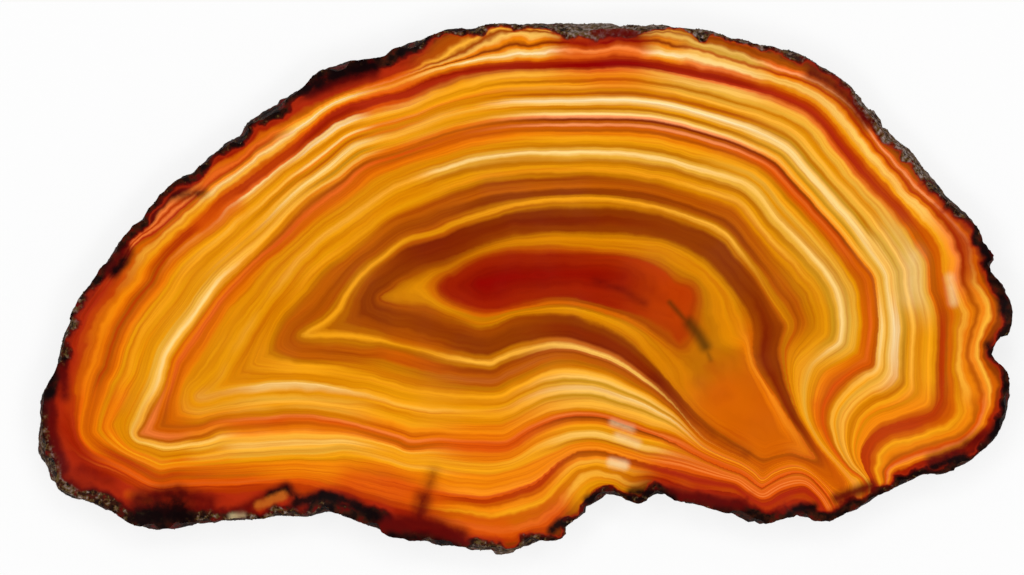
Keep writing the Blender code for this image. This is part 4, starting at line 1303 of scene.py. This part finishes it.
def rough_rind():
    made, tree = empty_material("rough natural rind")
    place = place_in_mm(tree)
    weathered = read_three(tree, "rind")[2]
    colour = rind_colour(tree, place, weathered)
    bumps = clouds(tree, place, RIND_BUMPS, detail=4.0)
    relief = add(tree, "ShaderNodeBump", {"Strength": RIND_RELIEF, "Distance": RIND_DEPTH, "Height": bumps})
    shader = add(tree, "ShaderNodeBsdfPrincipled", {
        "Base Color": colour, "Roughness": RIND_ROUGHNESS, "IOR": QUARTZ_IOR,
        "Specular IOR Level": RIND_SHEEN, "Normal": relief.outputs[0]})
    add(tree, "ShaderNodeOutputMaterial", {0: shader.outputs[0]})
    return made


for made in (polished_agate(), sawn_agate(), rough_rind()):
    slice_mesh.materials.append(made)
kinds = np.where(flat_up, 0, np.where(flat_down, 1, 2)).astype(np.int32)
slice_mesh.polygons.foreach_set("material_index", kinds)
slice_mesh.update()
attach(banded_slice, "root")
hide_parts("agate_slice")
print("materials:", [made.name for made in slice_mesh.materials])

# %% [markdown]
# ## Mineral grains on the rind
#
# Small crystals of clay, lime and quartz stick in the rind of a real nodule and catch the light.
# They are scattered by Geometry Nodes: points are spread over the rim, more of them where the rind
# is pale, and each gets a small stone with few faces, turned and stretched at random.

# %% The rim on its own, as the ground for the grains
rim_triangles = triangles[on_rim]
used, renumbered = np.unique(rim_triangles, return_inverse=True)
ground_mesh = bpy.data.meshes.new("rim_ground")
ground_mesh.from_pydata(places[used].tolist(), [], renumbered.reshape(-1, 3).tolist())
store(ground_mesh, "pale_share", "FLOAT", "value", rind_values[used, 2])
grains_object = bpy.data.objects.new("rind_grains", ground_mesh)
bpy.context.scene.collection.objects.link(grains_object)
print("grain ground:", len(ground_mesh.polygons), "triangles")

# %% Material of the grains
GRAIN_PATCHES = 0.7 / MM
GRAIN_COLOURS = [(0.4, "soot"), (0.5, "bark"), (0.6, "moss"), (0.72, "skin")]

grain_material, tree = empty_material("weathered mineral grains")
place = add(tree, "ShaderNodeTexCoord").outputs["Object"]
patch = clouds(tree, place, GRAIN_PATCHES, detail=1.0)
colour = ramp_of(tree, patch, GRAIN_COLOURS)
shader = add(tree, "ShaderNodeBsdfPrincipled", {
    "Base Color": colour, "Roughness": 0.6, "Specular IOR Level": 0.3})
add(tree, "ShaderNodeOutputMaterial", {0: shader.outputs[0]})
print("material:", grain_material.name)

# %% Scatter the grains with Geometry Nodes
GRAINS_PER_AREA = 2.4 / MM**2
GRAIN_RADII = (0.05 * MM, 0.11 * MM)
GRAIN_STRETCH = ((0.6, 0.6, 0.5), (1.5, 1.2, 1.0))  # the least and the most, along each axis
GRAIN_FACES = 20
GRAIN_SEED = 7

scatter = bpy.data.node_groups.new("scatter grains", "GeometryNodeTree")
face = scatter.interface
face.new_socket("Geometry", in_out="INPUT", socket_type="NodeSocketGeometry")
for name, kind in (("Per area", "NodeSocketFloat"), ("Smallest", "NodeSocketFloat"),
                   ("Largest", "NodeSocketFloat"), ("Seed", "NodeSocketInt"),
                   ("Material", "NodeSocketMaterial")):
    face.new_socket(name, in_out="INPUT", socket_type=kind)
face.new_socket("Geometry", in_out="OUTPUT", socket_type="NodeSocketGeometry")
wanted = add(scatter, "NodeGroupInput").outputs
share = add(scatter, "GeometryNodeInputNamedAttribute", {0: "pale_share"}, data_type="FLOAT")
density = reckon(scatter, "MULTIPLY", wanted["Per area"], share.outputs[0])
points = add(scatter, "GeometryNodeDistributePointsOnFaces", {
    "Mesh": wanted["Geometry"], "Density": density, "Seed": wanted["Seed"]})
pebble = add(scatter, "GeometryNodeMeshIcoSphere", {"Radius": 1.0, "Subdivisions": 1})
size = add(scatter, "FunctionNodeRandomValue", {
    2: wanted["Smallest"], 3: wanted["Largest"], "Seed": wanted["Seed"]}, data_type="FLOAT")
stretch = add(scatter, "FunctionNodeRandomValue", {
    0: GRAIN_STRETCH[0], 1: GRAIN_STRETCH[1], "Seed": wanted["Seed"]}, data_type="FLOAT_VECTOR")
scale = add(scatter, "ShaderNodeVectorMath", {
    0: stretch.outputs[0], "Scale": size.outputs[1]}, operation="SCALE")
turn = add(scatter, "FunctionNodeRandomValue", {
    0: (0.0, 0.0, 0.0), 1: (2 * pi, 2 * pi, 2 * pi), "Seed": wanted["Seed"]}, data_type="FLOAT_VECTOR")
laid = add(scatter, "GeometryNodeInstanceOnPoints", {
    "Points": points.outputs["Points"], "Instance": pebble.outputs["Mesh"],
    "Rotation": turn.outputs[0], "Scale": scale.outputs[0]})
real = add(scatter, "GeometryNodeRealizeInstances", {"Geometry": laid.outputs[0]})
dressed = add(scatter, "GeometryNodeSetMaterial", {
    "Geometry": real.outputs[0], "Material": wanted["Material"]})
add(scatter, "NodeGroupOutput", {0: dressed.outputs[0]})

modifier = grains_object.modifiers.new("grains", "NODES")
modifier.node_group = scatter
values = {
    "Per area": GRAINS_PER_AREA, "Smallest": GRAIN_RADII[0], "Largest": GRAIN_RADII[1],
    "Seed": GRAIN_SEED, "Material": grain_material}
for socket in scatter.interface.items_tree:
    if socket.in_out == "INPUT" and socket.name in values:
        modifier[socket.identifier] = values[socket.name]
bpy.context.view_layer.update()
baked = bpy.data.meshes.new_from_object(grains_object.evaluated_get(bpy.context.evaluated_depsgraph_get()))
grains_object.modifiers.remove(modifier)
grains_object.data = baked
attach(grains_object, "root")
print("grains:", len(baked.polygons) // GRAIN_FACES, "of them,", len(baked.polygons), "faces")

# %% [markdown]
# ## Floor and light
#
# The slice is shown on a plain pale floor. A glossy face seen straight on mirrors whatever is
# above it, so nothing bright stands there: eight soft lights stand round the slice instead,
# and the sky is brightest near the horizon and dark overhead.

# %% Floor
FLOOR_SIDE = 2.0
FLOOR_DROP = 0.02 * MM  # so that floor and stone never share a surface
FLOOR_GREY = (0.2, 0.2, 0.2, 1.0)
FLOOR_GLOW = 0.78
WHITE = (1.0, 1.0, 1.0, 1.0)
floor_mesh = bpy.data.meshes.new("floor")
half = FLOOR_SIDE / 2
floor_corners = [(-half, -half, 0), (half, -half, 0), (half, half, 0), (-half, half, 0)]
floor_mesh.from_pydata(floor_corners, [], [(0, 1, 2, 3)])
floor = bpy.data.objects.new("floor", floor_mesh)
floor.location.z = -FLOOR_DROP
bpy.context.scene.collection.objects.link(floor)
sheet, tree = empty_material("backlit white sheet")
shader = add(tree, "ShaderNodeBsdfPrincipled", {
    "Base Color": FLOOR_GREY, "Roughness": 1.0, "Specular IOR Level": 0.0,
    "Emission Color": WHITE, "Emission Strength": FLOOR_GLOW})
add(tree, "ShaderNodeOutputMaterial", {0: shader.outputs[0]})
floor_mesh.materials.append(sheet)

# %% Lights
LIGHTS_ROUND = 8
LIGHT_DISTANCE = 1.1
LIGHT_TILT = radians(26)  # from straight up
LIGHT_SIZE = 0.35
LIGHT_POWER = 1.45
SKY_STRENGTH = 0.35
SKY_FADE = (0.5, 0.92)  # height on a sky of radius 1 where it begins to darken, and where it is dark

for k in range(LIGHTS_ROUND):
    turn = 2 * pi * k / LIGHTS_ROUND
    lamp = bpy.data.lights.new("soft light", "AREA")
    lamp.shape = "DISK"
    lamp.size = LIGHT_SIZE
    lamp.energy = LIGHT_POWER
    placed = bpy.data.objects.new("soft light", lamp)
    way = Vector((sin(LIGHT_TILT) * cos(turn), sin(LIGHT_TILT) * sin(turn), cos(LIGHT_TILT)))
    placed.location = way * LIGHT_DISTANCE
    placed.rotation_euler = way.to_track_quat("Z", "Y").to_euler()
    bpy.context.scene.collection.objects.link(placed)

sky = bpy.data.worlds.new("studio")
bpy.context.scene.world = sky
sky.use_nodes = True
tree = sky.node_tree
tree.nodes.clear()
coords = add(tree, "ShaderNodeTexCoord")
split = add(tree, "ShaderNodeSeparateXYZ", {0: coords.outputs["Generated"]})
fade = ranged(tree, split.outputs["Z"], *SKY_FADE, SKY_STRENGTH, 0.0)
light = add(tree, "ShaderNodeBackground", {"Color": WHITE, "Strength": fade})
add(tree, "ShaderNodeOutputWorld", {0: light.outputs[0]})
